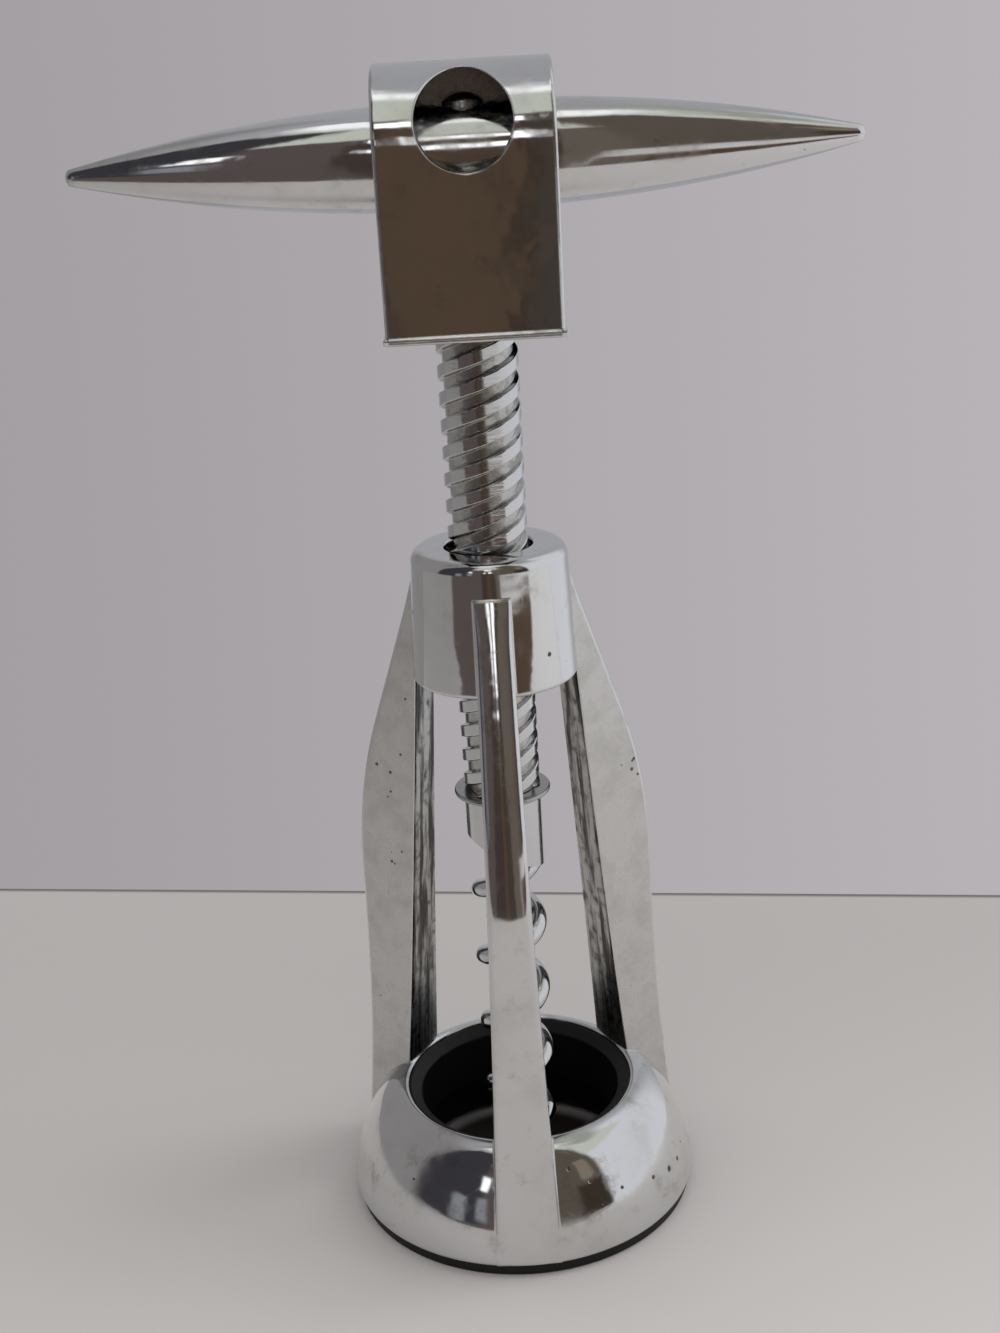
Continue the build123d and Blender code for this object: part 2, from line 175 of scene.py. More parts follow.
def lathe(name, corners, steps=160, corner_steps=4):
    """Closed solid of revolution about Z from corners (radius, height, perhaps corner radius) in mm."""
    shape = bmesh.new()
    rings = []
    for radius, height in rounded(corners, corner_steps):
        count = steps if radius > 1e-6 else 1
        angles = [2 * pi * k / steps for k in range(count)]
        points = [(radius * MM * cos(a), radius * MM * sin(a), height * MM) for a in angles]
        rings.append([shape.verts.new(point) for point in points])
    for low, high in zip(rings, rings[1:] + rings[:1]):
        if len(low) == len(high) == 1:
            continue
        for k in range(steps):
            around = (k + 1) % steps
            face = [low[k % len(low)], low[around % len(low)]]
            face += [high[around % len(high)], high[k % len(high)]]
            shape.faces.new(list(dict.fromkeys(face)))
    return bmesh_object(name, shape)


def joined(name, pieces):
    """One object from several closed shells."""
    with bpy.context.temp_override(active_object=pieces[0], selected_editable_objects=pieces):
        bpy.ops.object.join()
    pieces[0].name = name
    return pieces[0]


# %% [markdown]
# ## The bell base
# The base is a casting like a low bell: a short upright wall, then a dome that closes to the mouth
# where the bottle's neck is guided. Polishing has run the two together, and no line shows where one
# ends. What the eye reads on such a form is its tilt, since that decides what part of the room each
# height mirrors. So the outline is written as a tilt in degrees at each height, and adding up the tilts
# gives the radii.

# %% Tilts of the bell
wall_radius, mouth_radius, mouth_height = 23.8, 15.5, 15.6
mouth_land = 0.45
foot_rounding = 0.8
wall_bottom = cage_bottom + foot_rounding
tilt_at_height = [(wall_bottom, 0), (3, 6), (6, 16.5), (10, 28), (13, 39), (14.6, 53), (15.3, 68)]
tilt_at_height += [(mouth_height, 78)]
steps_between = 8

drops = [(wall_bottom, 0.0)]
for (low, first_tilt), (high, last_tilt) in zip(tilt_at_height, tilt_at_height[1:]):
    step = (high - low) / steps_between
    for k in range(steps_between):
        tilt = first_tilt + (last_tilt - first_tilt) * (k + 0.5) / steps_between
        drops.append((low + step * (k + 1), drops[-1][1] + step * tan(radians(tilt))))
fit = (wall_radius - mouth_radius - mouth_land) / drops[-1][1]
dome = [(wall_radius - fit * drop, height) for height, drop in drops]
print(f"radii scaled by {fit:.3f} to end at the mouth")

# %% Bell outline
liner_pocket_radius, liner_ledge = liner_radius + slip_gap, 12.6
groove_inner, groove_outer, groove_top = 20.57, 22.33, 2.33
foot_steps = 8
fine_turn = 192

foot_angles = [radians(90 * k / foot_steps) for k in range(foot_steps)]
bell_corners = [
    (wall_radius - foot_rounding * (1 - sin(a)), cage_bottom + foot_rounding * (1 - cos(a)))
    for a in foot_angles
]
bell_corners += dome[:-1]
bell_corners += [
    (mouth_radius + mouth_land, mouth_height, 0.15),
    (mouth_radius, mouth_height - mouth_land / 2, 0.1),
    (mouth_radius, liner_ledge),
    (liner_pocket_radius, liner_ledge),
    (liner_pocket_radius, cage_bottom),
    (groove_inner, cage_bottom),
    (groove_inner, groove_top),
    (groove_outer, groove_top),
    (groove_outer, cage_bottom),
]
bell = lathe("bell", bell_corners, fine_turn, corner_steps=6)

# %% [markdown]
# ## The collar
# The collar is a slightly conical ring with a heavily rounded top edge, bored for the nut from below.
# Its hole is wider than the screw, so a dark gap shows around the thread.

# %% Collar outline
collar_bottom = 75.4
collar_top_radius, collar_bottom_radius = 9.9, 10.6
collar_hole = 5.6
nut_bore = nut_radius + slip_gap
ring_groove = nut_bore + 0.55

collar_corners = [
    (collar_hole, cage_top, 0.35),
    (collar_top_radius, cage_top, 1.6),
    (collar_bottom_radius, collar_bottom, 0.5),
    (nut_bore, collar_bottom, 0.3),
    (nut_bore, ring_bottom),
    (ring_groove, ring_bottom),
    (ring_groove, ring_top),
    (nut_bore, ring_top),
    (nut_bore, nut_top),
    (collar_hole, nut_top),
]
collar = lathe("collar", collar_corners, fine_turn, corner_steps=8)

# %% [markdown]
# ## The ribs
# Each rib is a strap that leaves the collar with a tiny square step, runs down a straight flank, bends
# over a shoulder and then falls almost upright to the foot. Its outer face is nearly flat with rounded
# edges, and it widens towards the base. One rib is lofted from sections at many heights. A tree of
# geometry nodes then copies it around the axis, because the three are the same casting and a copy can't
# differ.

# %% Outer face of a rib, from the side
rib_top = 88.1
rib_step = 0.3
shoulder_start, shoulder_end = (17.9, 67.3), (21.75, 45.0)
shin, ankle, toe = (22.3, 18.0), (22.9, 10.0), (23.55, cage_bottom)


def collar_radius(height):
    share = (cage_top - height) / (cage_top - collar_bottom)
    return collar_top_radius + share * (collar_bottom_radius - collar_top_radius)


rib_head = (collar_radius(rib_top) + rib_step, rib_top)
flank = (Vector(shoulder_start) - Vector(rib_head)).normalized()
chord = Vector(shoulder_end) - Vector(shoulder_start)
inward = Vector((flank.y, -flank.x))
shoulder_radius = chord.length_squared / (2 * inward.dot(chord))
shoulder_centre = Vector(shoulder_start) + inward * shoulder_radius
shin_slope = -(shoulder_end[1] - shoulder_centre.y) / (shoulder_end[0] - shoulder_centre.x)
shin_points = [shoulder_end, shin, ankle, toe]
shin_slopes = [shin_slope, -0.06, -0.08, -0.06]


def hermite(start, end, start_slope, end_slope, share):
    """Cubic between two values with given slopes (per unit share)."""
    s2, s3 = share**2, share**3
    from_start = (2 * s3 - 3 * s2 + 1) * start + (s3 - 2 * s2 + share) * start_slope
    return from_start + (-2 * s3 + 3 * s2) * end + (s3 - s2) * end_slope


def rib_outer(height):
    """Radius of a rib's outer face at a height."""
    if height > shoulder_start[1]:
        share = (height - rib_head[1]) / (shoulder_start[1] - rib_head[1])
        return rib_head[0] + share * (shoulder_start[0] - rib_head[0])
    if height > shoulder_end[1]:
        drop = height - shoulder_centre.y
        return shoulder_centre.x + sqrt(shoulder_radius**2 - drop**2)
    runs = zip(shin_points, shin_points[1:], shin_slopes, shin_slopes[1:])
    for upper, lower, upper_slope, lower_slope in runs:
        if height >= lower[1] - 1e-6:
            length = lower[1] - upper[1]
            share = (height - upper[1]) / length
            radius = hermite(upper[0], lower[0], upper_slope * length, lower_slope * length, share)
            left = max(0.0, foot_rounding - (height - cage_bottom))
            return radius - foot_rounding + sqrt(foot_rounding**2 - left**2)
    return toe[0] - foot_rounding


print(f"shoulder radius {shoulder_radius:.1f} mm, outer face at 30 mm: {rib_outer(30):.2f} mm")

# %% [markdown]
# The inner face is one straight line from the collar to the mouth. Above and below it the rib is sunk
# into the collar and the bell's wall, deep enough to be one with them and never so deep that it shows
# in the bore, the liner's pocket or the groove.

# %% Inner face and width of a rib
root_depth, root_end = 0.8, 0.6
mouth_cover, pocket_cover, groove_cover, groove_roof = 0.1, 0.3, 0.15, 0.4
inner_knots = [
    (rib_top, collar_radius(rib_top) - root_depth),
    (collar_bottom + root_end, collar_bottom_radius - root_end),
    (collar_bottom, collar_bottom_radius),
    (mouth_height - 2 * mouth_land, mouth_radius + mouth_cover),
    (liner_ledge, liner_pocket_radius + pocket_cover),
    (groove_top + groove_roof, groove_outer + groove_cover),
    (cage_bottom, groove_outer + groove_cover),
]
top_width, waist_width, low_width = 4.6, 5.7, 8.8
waist_height = 47.0
edge_top = (top_width / 2, rib_top)
edge = [edge_top] + arc_through(edge_top, (waist_width / 2, waist_height), (low_width / 2, cage_bottom), 80)
half_widths = [(height, half) for half, height in edge]


def read_off(table, height):
    """Value at a height from rows of (height, value) that go downwards."""
    for (upper, a), (lower, b) in zip(table, table[1:]):
        if height >= lower - 1e-6:
            return a + (b - a) * (height - upper) / (lower - upper)
    return table[-1][1]


print(f"at 45 mm the rib is {2 * read_off(half_widths, 45):.2f} mm wide")

# %% Loft of a rib
outer_edge_radius, inner_edge_radius = 0.85, 0.35
crown_height, crown_places = 0.22, (0.5, 0.17, -0.17, -0.5)
rib_steps = 150
foot_shares = (0.03, 0.1, 0.25, 0.45, 0.7)


def rib_section(height):
    """Rounded rectangle across a rib: x sideways, y outwards, with a slightly crowned outer face."""
    half, inner, outer = read_off(half_widths, height), read_off(inner_knots, height), rib_outer(height)
    edge = min(outer_edge_radius, (outer - inner) / 3)
    inner_edge = min(inner_edge_radius, (outer - inner) / 3)
    corners = [(-half, inner, inner_edge), (half, inner, inner_edge), (half, outer, edge)]
    for place in crown_places:
        corners.append((place * half, outer + crown_height * (1 - (place * half / (half - edge)) ** 2)))
    return rounded(corners + [(-half, outer, edge)], 5)


def loft(name, sections):
    """Closed solid through sections of equal point count, on the side of -Y."""
    shape = bmesh.new()
    rings = []
    for height, points in sections:
        rings.append([shape.verts.new((x * MM, -y * MM, height * MM)) for x, y in points])
    for low, high in zip(rings, rings[1:]):
        for k in range(len(low)):
            around = (k + 1) % len(low)
            shape.faces.new((low[k], low[around], high[around], high[k]))
    shape.faces.new(rings[0])
    shape.faces.new(list(reversed(rings[-1])))
    return bmesh_object(name, shape)


rib_heights = {height for height, _ in inner_knots}
rib_heights |= {cage_bottom + foot_rounding * share for share in foot_shares}
rib_heights |= {cage_bottom + (rib_top - cage_bottom) * k / rib_steps for k in range(rib_steps + 1)}
one_rib = loft("one_rib", [(height, rib_section(height)) for height in sorted(rib_heights)])


# %% [markdown]
# Geometry nodes and shader nodes are wired by one helper. It takes a node's values in the order in
# which the node shows its sockets, or by the socket's name: a plain value sets the socket, and a node
# or a socket is linked. Each geometry tree has named inputs for its sizes and ends in Realize Instances
# and Set Material. The result is copied out as a plain mesh, since the other programs that use this
# part know nothing of modifiers.


# %% Wiring nodes
def wire(made, *values, **named):
    """Fills in a node: values go to its sockets in order, named ones to the socket or setting so named."""
    chosen = []
    for key, value in named.items():
        label = key.replace("_", " ")
        if label in made.inputs:
            chosen.append((made.inputs[label], value))
        else:
            setattr(made, key, value)
    shown = [socket for socket in made.inputs if socket.enabled]
    for socket, value in list(zip(shown, values)) + chosen:
        if isinstance(value, bpy.types.Node):
            value = next(output for output in value.outputs if output.enabled)
        if isinstance(value, bpy.types.NodeSocket):
            made.id_data.links.new(value, socket)
        else:
            socket.default_value = value
    return made


def node(tree, kind, *values, **named):
    """Adds a node to a tree and fills it in."""
    return wire(tree.nodes.new(kind), *values, **named)


# %% Growing meshes
def new_tree(name, **sizes):
    """A geometry tree with named inputs of the given socket types."""
    tree = bpy.data.node_groups.new(name, "GeometryNodeTree")
    for label, kind in sizes.items():
        tree.interface.new_socket(label.replace("_", " "), in_out="INPUT", socket_type="NodeSocket" + kind)
    tree.interface.new_socket("Material", in_out="INPUT", socket_type="NodeSocketMaterial")
    tree.interface.new_socket("Geometry", in_out="OUTPUT", socket_type="NodeSocketGeometry")
    return tree, node(tree, "NodeGroupInput").outputs


def close_tree(tree, geometry, material):
    real = node(tree, "GeometryNodeRealizeInstances", geometry)
    painted = node(tree, "GeometryNodeSetMaterial", real, Material=material)
    node(tree, "NodeGroupOutput", painted)


def grown(name, tree, **values):
    """Runs a tree with its inputs set by their identifiers and returns the plain mesh."""
    carrier = new_object(name, bpy.data.meshes.new(name))
    modifier = carrier.modifiers.new("grow", "NODES")
    modifier.node_group = tree
    for socket in tree.interface.items_tree:
        label = socket.name.replace(" ", "_")
        if socket.in_out == "INPUT" and label in values:
            modifier[socket.identifier] = values[label]
    return applied(carrier, name)


# %% Three ribs from one
tree, given = new_tree("copies_around_axis", Piece="Object", Count="Int")
circle = node(tree, "GeometryNodeMeshCircle", given["Count"], Radius=0.0)
piece = node(tree, "GeometryNodeObjectInfo", given["Piece"]).outputs["Geometry"]
number = node(tree, "GeometryNodeInputIndex")
share = node(tree, "ShaderNodeMath", number, given["Count"], operation="DIVIDE")
angle = node(tree, "ShaderNodeMath", share, 2 * pi, operation="MULTIPLY")
turned = node(tree, "FunctionNodeAxisAngleToRotation", (0, 0, 1), angle)
copies = node(tree, "GeometryNodeInstanceOnPoints", circle, Instance=piece, Rotation=turned)
close_tree(tree, copies, given["Material"])

ribs = grown("ribs", tree, Piece=one_rib, Count=3)
bpy.data.objects.remove(one_rib)
cage = weighted(joined("cage_casting", [bell, collar, ribs]), 40)

# %% [markdown]
# ## Foot ring and liner
# Both are black mouldings. The ring is pressed into a groove under the base and shows as a dark line
# all round. The liner sits in the mouth, and its chamfered lip guides the worm and the bottle's neck.

# %% The two mouldings
foot_inner = 19.6
tongue_inner, tongue_outer = groove_inner + press_gap, groove_outer - press_gap
tongue_top = groove_top - press_gap
foot_corners = [
    (foot_inner, foot_bottom, 0.2),
    (foot_radius, foot_bottom, 0.3),
    (foot_radius, cage_bottom, 0.1),
    (tongue_outer, cage_bottom),
    (tongue_outer, tongue_top),
    (tongue_inner, tongue_top),
    (tongue_inner, cage_bottom),
    (foot_inner, cage_bottom, 0.1),
]
foot_ring = weighted(lathe("foot_ring_moulding", foot_corners))

neck_radius, neck_step, cork_radius = 15.3, 6.9, 13.7
neck_lead = 0.8
lip_radius, lip_thickness, lip_slope = mouth_radius - slip_gap, 0.3, 1.1
liner_corners = [
    (neck_radius + neck_lead, liner_bottom, 0.1),
    (liner_radius, liner_bottom, 0.3),
    (liner_radius, liner_ledge),
    (lip_radius, liner_ledge),
    (lip_radius, liner_top, 0.12),
    (lip_radius - lip_thickness, liner_top, 0.12),
    (cork_radius, liner_top - lip_slope, 0.4),
    (cork_radius, neck_step, 0.2),
    (neck_radius, neck_step),
    (neck_radius, liner_bottom + neck_lead, 0.3),
]
liner = weighted(lathe("liner_moulding", liner_corners, fine_turn))

# %% [markdown]
# ## The lead screw
# The thread has three starts: three ridges side by side, each climbing 10 mm in a turn. That is why it
# looks like a rope and not like a bolt. A section straight across it is a round with three broad lobes,
# and the whole thread is that section carried up the axis while it turns. The tree below does just
# that: it sweeps the section along a line and then turns each point by its own height. Columns of faces
# then follow the ridges, so the crest edges stay crisp.

# %% Section of the thread
thread_starts, thread_lead = 3, 10.0
screw_radius, root_radius = 5.0, 4.3
crest_width, ridge_foot, crest_round = 1.65, 1.95, 0.14
thread_phase = 26.0
screw_bottom, thread_top = washer_top + 0.1, head_bottom + 0.3


def thread_section():
    """Closed outline across the thread, in mm; a length along the axis becomes an angle."""
    start_angle = 2 * pi / thread_starts
    per_mm = start_angle / (thread_lead / thread_starts)
    crest, foot, fillet = crest_width / 2 * per_mm, ridge_foot / 2 * per_mm, crest_round * per_mm
    half = [(crest * k / 4, 0) for k in range(4)]
    half += [(crest - fillet, 0), (crest - 0.3 * fillet, 0.06), (crest, 0.24)]
    half += [(foot, 0.9), (foot + 0.5 * fillet, 0.98), (foot + fillet, 1)]
    half += [(foot + (start_angle / 2 - foot) * k / 4, 1) for k in (2, 3)]
    period = [(-a, depth) for a, depth in reversed(half[1:])] + half + [(start_angle / 2, 1)]
    points = []
    for ridge in range(thread_starts):
        for a, depth in period:
            radius = screw_radius - depth * (screw_radius - root_radius)
            whole = radians(thread_phase) + ridge * start_angle + a
            points.append((radius * cos(whole), radius * sin(whole)))
    return points


outline = thread_section()
curve = bpy.data.curves.new("thread_section", "CURVE")
curve.dimensions = "3D"
spline = curve.splines.new("POLY")
spline.points.add(len(outline) - 1)
for point, (x, y) in zip(spline.points, outline):
    point.co = (x * MM, y * MM, 0, 1)
spline.use_cyclic_u = True
section_curve = new_object("thread_section", curve)
print("points across the thread:", len(outline))

# %% The thread, swept and turned
tree, given = new_tree(
    "turned_thread", Section="Object", Bottom="Float", Top="Float", Lead="Float", Steps="Int"
)
low = node(tree, "ShaderNodeCombineXYZ", Z=given["Bottom"])
high = node(tree, "ShaderNodeCombineXYZ", Z=given["Top"])
axis = node(tree, "GeometryNodeCurvePrimitiveLine", low, high)
stations = node(tree, "GeometryNodeResampleCurve", axis, Count=given["Steps"])
section = node(tree, "GeometryNodeObjectInfo", given["Section"]).outputs["Geometry"]
bar = node(tree, "GeometryNodeCurveToMesh", stations, section, Fill_Caps=True)
place = node(tree, "GeometryNodeInputPosition")
height = node(tree, "ShaderNodeSeparateXYZ", place).outputs["Z"]
turns = node(tree, "ShaderNodeMath", height, given["Lead"], operation="DIVIDE")
angle = node(tree, "ShaderNodeMath", turns, 2 * pi, operation="MULTIPLY")
turned = node(tree, "ShaderNodeVectorRotate", place, Axis=(0, 0, 1), Angle=angle)
twisted = node(tree, "GeometryNodeSetPosition", bar, Position=turned)
close_tree(tree, twisted, given["Material"])

steps_per_turn = 60
thread = grown(
    "thread",
    tree,
    Section=section_curve,
    Bottom=screw_bottom * MM,
    Top=thread_top * MM,
    Lead=thread_lead * MM,
    Steps=int(steps_per_turn * (thread_top - screw_bottom) / thread_lead),
)
bpy.data.objects.remove(section_curve)

# %% [markdown]
# The rest of the screw is turned: a shank in the head block, a tenon through the bar, and a stud that
# the cap nut closes. Little of it shows, but the part is opened by others, so nothing is left
# hanging.

# %% Shank, tenon and stud
shank_bottom = head_bottom - 0.5
shank_radius, shank_top = 4.2, head_bottom + 7.0
tenon_radius, tenon_top = 2.5, cap_bottom - 0.4
stud_radius, stud_top = 1.5, cap_top - 0.7
shank_corners = [
    (0, shank_bottom),
    (shank_radius, shank_bottom),
    (shank_radius, shank_top, 0.3),
    (tenon_radius, shank_top),
    (tenon_radius, tenon_top, 0.3),
    (stud_radius, tenon_top),
    (stud_radius, stud_top, 0.2),
    (0, stud_top),
]
shank = lathe("shank", shank_corners, 64, corner_steps=3)
lead_screw = weighted(joined("lead_screw_thread", [thread, shank]), 50)

# %% [markdown]
# ## Washer and worm
# The washer is a loose stamped ring between screw and worm. The worm is a right-hand wire coil with a
# ground point. The tree makes a spiral, gives it a radius that grows from the point to the full wire,
# and sweeps a circle along it. The wire runs up into a stub that is cut off aslant, where the coil
# leaves it.

# %% Washer
washer_bore = 2.65
washer_corners = [
    (washer_bore, washer_bottom, 0.1),
    (washer_radius, washer_bottom, 0.22),
    (washer_radius, washer_top, 0.22),
    (washer_bore, washer_top, 0.1),
]
washer = weighted(lathe("stop_washer_ring", washer_corners, 128))

# %% Wire of the worm
worm_radius, wire_radius, point_radius = 5.0, 1.3, 0.12
worm_entry, worm_pitch, worm_coils = 49.7, 10.0, 4
buried_turn, taper_turn = 45 / 360, 75 / 360
worm_turns = worm_coils + taper_turn + buried_turn

tree, given = new_tree(
    "pointed_wire",
    Turns="Float",
    Pitch="Float",
    Coil_Radius="Float",
    Wire_Radius="Float",
    Point_Radius="Float",
    Taper_Share="Float",
)
coil, turns = given["Coil Radius"], given["Turns"]
rise = node(tree, "ShaderNodeMath", turns, given["Pitch"], operation="MULTIPLY")
spiral = node(tree, "GeometryNodeCurveSpiral", 72, turns, coil, coil, Height=rise, Reverse=True)
along = node(tree, "GeometryNodeSplineParameter")
thin, thick = given["Point Radius"], given["Wire Radius"]
size = node(tree, "ShaderNodeMapRange", along, 0.0, given["Taper Share"], thin, thick)
circle = node(tree, "GeometryNodeCurvePrimitiveCircle", Resolution=32, Radius=1.0)
swept = node(tree, "GeometryNodeCurveToMesh", spiral, circle, Scale=size, Fill_Caps=True)
close_tree(tree, swept, given["Material"])

wire_mesh = grown(
    "wire",
    tree,
    Turns=worm_turns,
    Pitch=worm_pitch * MM,
    Coil_Radius=(worm_radius - wire_radius) * MM,
    Wire_Radius=wire_radius * MM,
    Point_Radius=point_radius * MM,
    Taper_Share=taper_turn / worm_turns,
)
wire_start = Matrix.Translation((0, 0, (worm_entry - worm_pitch * (worm_coils + taper_turn)) * MM))
wire_mesh.data.transform(wire_start @ Matrix.Rotation(-2 * pi * taper_turn, 4, "Z"))
print("the wire's lowest point:", min(v.co.z for v in wire_mesh.data.vertices) / MM, "mm")

# %% Stub and spigot
stub_radius, stub_top = 5.05, washer_bottom - 0.1
stub_low = worm_entry - wire_radius
stub_high = stub_low + worm_pitch / 2
spigot_radius, spigot_top = 2.55, stub_top + 8.0
stub_corners = [
    (0, stub_low - 1),
    (stub_radius, stub_low - 1),
    (stub_radius, stub_top, 0.3),
    (spigot_radius, stub_top),
    (spigot_radius, spigot_top, 0.2),
    (0, spigot_top),
]
stub = lathe("stub", stub_corners, 96)
cut = bmesh.new()
cut.from_mesh(stub.data)
bpy.data.objects.remove(stub)
bmesh.ops.bisect_plane(
    cut,
    geom=cut.verts[:] + cut.edges[:] + cut.faces[:],
    plane_co=(0, 0, (stub_low + stub_high) / 2 * MM),
    plane_no=Vector((stub_high - stub_low, 0, 2 * stub_radius)).normalized(),
    clear_inner=True,
)
bmesh.ops.holes_fill(cut, edges=[edge for edge in cut.edges if edge.is_boundary])
worm = weighted(joined("worm_wire", [wire_mesh, bmesh_object("stub", cut)]), 40)

# %% [markdown]
# ## The handle bar
# The bar is turned: straight through the block, then a long taper, a single arc in profile, to blunt
# tips. It is spun about Z like the other round parts and then laid along X.

# %% Bar profile
head_width = 20.8
bar_belly = (31.5, 3.95)
taper_start, taper_end = (head_width / 2, bar_radius), (bar_reach - 0.4, 0.95)
tip_shoulder, tip = (bar_reach - 0.14, 0.62), (bar_reach, 0)
side = [(head_width / 2 * k / 3, bar_radius) for k in range(4)]
side += arc_through(taper_start, bar_belly, taper_end, 48)
side += arc_through(taper_end, tip_shoulder, tip, 6)
profile = [(radius, x) for x, radius in side] + [(radius, -x) for x, radius in reversed(side[1:])]
handle = lathe("handle_bar_spindle", profile, 128)
lay_along_x = Matrix.Translation((0, 0, bar_height * MM)) @ Matrix.Rotation(pi / 2, 4, "Y")
handle.data.transform(lay_along_x)

# %% [markdown]
# A flat seat is milled into the bar's top for the cap nut, which is seen through the window. It is cut
# with a boolean, which suits one plain round pocket in a smooth body. A cutter reaches past each
# surface that it opens, so that no two faces lie in one plane.


# %% Cutting one shape from another
def cut_away(piece, cutter):
    """Subtracts a closed cutter from a piece."""
    modifier = piece.modifiers.new("cut", "BOOLEAN")
    modifier.operation = "DIFFERENCE"
    modifier.solver = "EXACT"
    modifier.object = cutter
    result = applied(piece, piece.name)
    bpy.data.objects.remove(cutter)
    return result


def plug(name, radius, low, high, steps):
    """A plain round cutter between two heights."""
    return lathe(name, [(0, low), (radius, low), (radius, high), (0, high)], steps)


seat_radius = 3.1
seat = plug("seat_cutter", seat_radius, cap_bottom, bar_high + 1, 64)
handle = weighted(cut_away(handle, seat), 35)

# %% [markdown]
# ## The head block
# The block is D-shaped from the side: flat front and back, and a crown that is round about the bar. A
# round window is bored into its front, through which the bar and its cap nut show. Below it ends in a
# thin proud lip. The block is extruded from its side view, its long edges are bevelled, and then window
# and bar hole are cut.

# %% Block
head_depth = 21.5
head_round = 0.45
half_depth = head_depth / 2
crown = arc_through((-half_depth, bar_height), (0, bar_height + half_depth), (half_depth, bar_height), 120)
side_view = [(-half_depth, head_bottom), (-half_depth, bar_height)] + crown + [(half_depth, head_bottom)]


def slab(name, outline, half_width, rim_radius):
    """An outline in the YZ plane, extruded along X both ways, with its long rims rounded."""
    shape = bmesh.new()
    left, right = [
        [shape.verts.new((x * MM, y * MM, z * MM)) for y, z in outline] for x in (-half_width, half_width)
    ]
    for k in range(len(outline)):
        around = (k + 1) % len(outline)
        shape.faces.new((left[k], left[around], right[around], right[k]))
    caps = [shape.faces.new(left), shape.faces.new(list(reversed(right)))]
    rims = [rim for cap in caps for rim in cap.edges]
    bmesh.ops.recalc_face_normals(shape, faces=shape.faces)
    bmesh.ops.bevel(shape, geom=rims, offset=rim_radius * MM, segments=4, profile=0.5, affect="EDGES")
    return bmesh_object(name, shape)


head = slab("head_block_casting", side_view, head_width / 2, head_round)

# %% Window, bar hole and screw hole
window_radius, window_height, window_back = 5.6, 143.7, 3.2
window = plug("window_cutter", window_radius, -window_back, head_depth, 128)
bore_from_front = Matrix.Translation((0, 0, window_height * MM)) @ Matrix.Rotation(pi / 2, 4, "X")
window.data.transform(bore_from_front)
bar_hole = plug("bar_hole_cutter", bar_radius + press_gap, -head_width, head_width, 96)
bar_hole.data.transform(lay_along_x)
screw_hole_corners = [
    (0, head_bottom - 1),
    (shank_radius + press_gap, head_bottom - 1),
    (shank_radius + press_gap, shank_top),
    (tenon_radius + slip_gap, shank_top),
    (tenon_radius + slip_gap, bar_height),
    (0, bar_height),
]
screw_hole = lathe("screw_hole_cutter", screw_hole_corners, 64)
for cutter in (window, bar_hole, screw_hole):
    head = cut_away(head, cutter)

# %% Lip
lip_height, lip_proud, lip_lean = 0.8, 0.25, 0.36
lip_rim = 0.15
lip_top, lip_half_depth = head_bottom + lip_height, half_depth + lip_proud
lip_view = [
    (-lip_half_depth + lip_lean, head_bottom, lip_rim),
    (-lip_half_depth, lip_top, 0.2),
    (lip_half_depth, lip_top, 0.2),
    (lip_half_depth - lip_lean, head_bottom, lip_rim),
]
lip = slab("lip", rounded(lip_view), head_width / 2 + lip_proud, lip_rim)
lip_hole = plug("lip_cutter", shank_radius + 1, head_bottom - 1, head_bottom + 2, 64)
head = weighted(joined("head_block_casting", [head, cut_away(lip, lip_hole)]), 30)

# %% Cap nut
cap_rise = (cap_top - cap_bottom) / 2
cap_sphere = (cap_radius**2 + cap_rise**2) / (2 * cap_rise)
way_down = radians(25)
dome_start = (cap_radius, cap_bottom + cap_rise)
dome_middle = (cap_sphere * sin(way_down), cap_top - cap_sphere * (1 - cos(way_down)))
dome_points = [dome_start] + arc_through(dome_start, dome_middle, (0, cap_top), 10)
cap_nut = weighted(lathe("cap_nut_dome", [(0, cap_bottom), (cap_radius, cap_bottom)] + dome_points, 72), 50)

# %% [markdown]
# ## Finishes
# Colours are written as sRGB hex, the way they are picked from a picture, and one function turns them
# to the linear values that the renderer works in. Pattern scales are worked out from real sizes: a
# noise texture of scale 1 has features of about one metre, so features of s millimetres need a scale of
# 1000 / s. A Map Range node takes its value, the range that is read from it and the range that is given
# back. With a smooth step it turns a noise into a mask of soft patches.

# %% Colour and scale helpers
smooth = {"interpolation_type": "SMOOTHSTEP"}
colours = {"data_type": "RGBA"}


def linear(hex_colour, strength=1.0):
    """Linear RGBA from an sRGB hex string."""
    channels = [int(hex_colour[i : i + 2], 16) / 255 for i in (1, 3, 5)]
    values = [c / 12.92 if c <= 0.04045 else ((c + 0.055) / 1.055) ** 2.4 for c in channels]
    return tuple(strength * value for value in values) + (1.0,)


def per_size(millimetres):
    """Texture scale whose features are about that size."""
    return 1 / (millimetres * MM)


def new_material(name, hex_colour, **constants):
    """A material, its tree, its shader with constants set on it, and Object coordinates."""
    material = bpy.data.materials.new(name)
    material.use_nodes = True
    tree = material.node_tree
    shader = wire(tree.nodes["Principled BSDF"], Base_Color=linear(hex_colour), **constants)
    print("finish:", name)
    return material, tree, shader, node(tree, "ShaderNodeTexCoord").outputs["Object"]


# %% [markdown]
# ### Chrome on die-cast zinc
# Bright chrome over a polished casting. New, it is a mirror with a faint ripple, because zinc is soft
# and buffing follows its grain. Used, it has a film of handling that dulls patches of it, stains that
# are more frequent low down where it gets wet, hairline scratches, and pits where the plating has
# blistered. All are here: ripple and pits bend the normal, and film, stains, hairs and pits set the
# roughness. The eye reads them as an old mirror. Real hairlines are a few hundredths of a millimetre
# wide and would not show, so they are drawn about half a millimetre wide and faint. A Bevel node turns
# the light over the casting's corners, as buffing does.

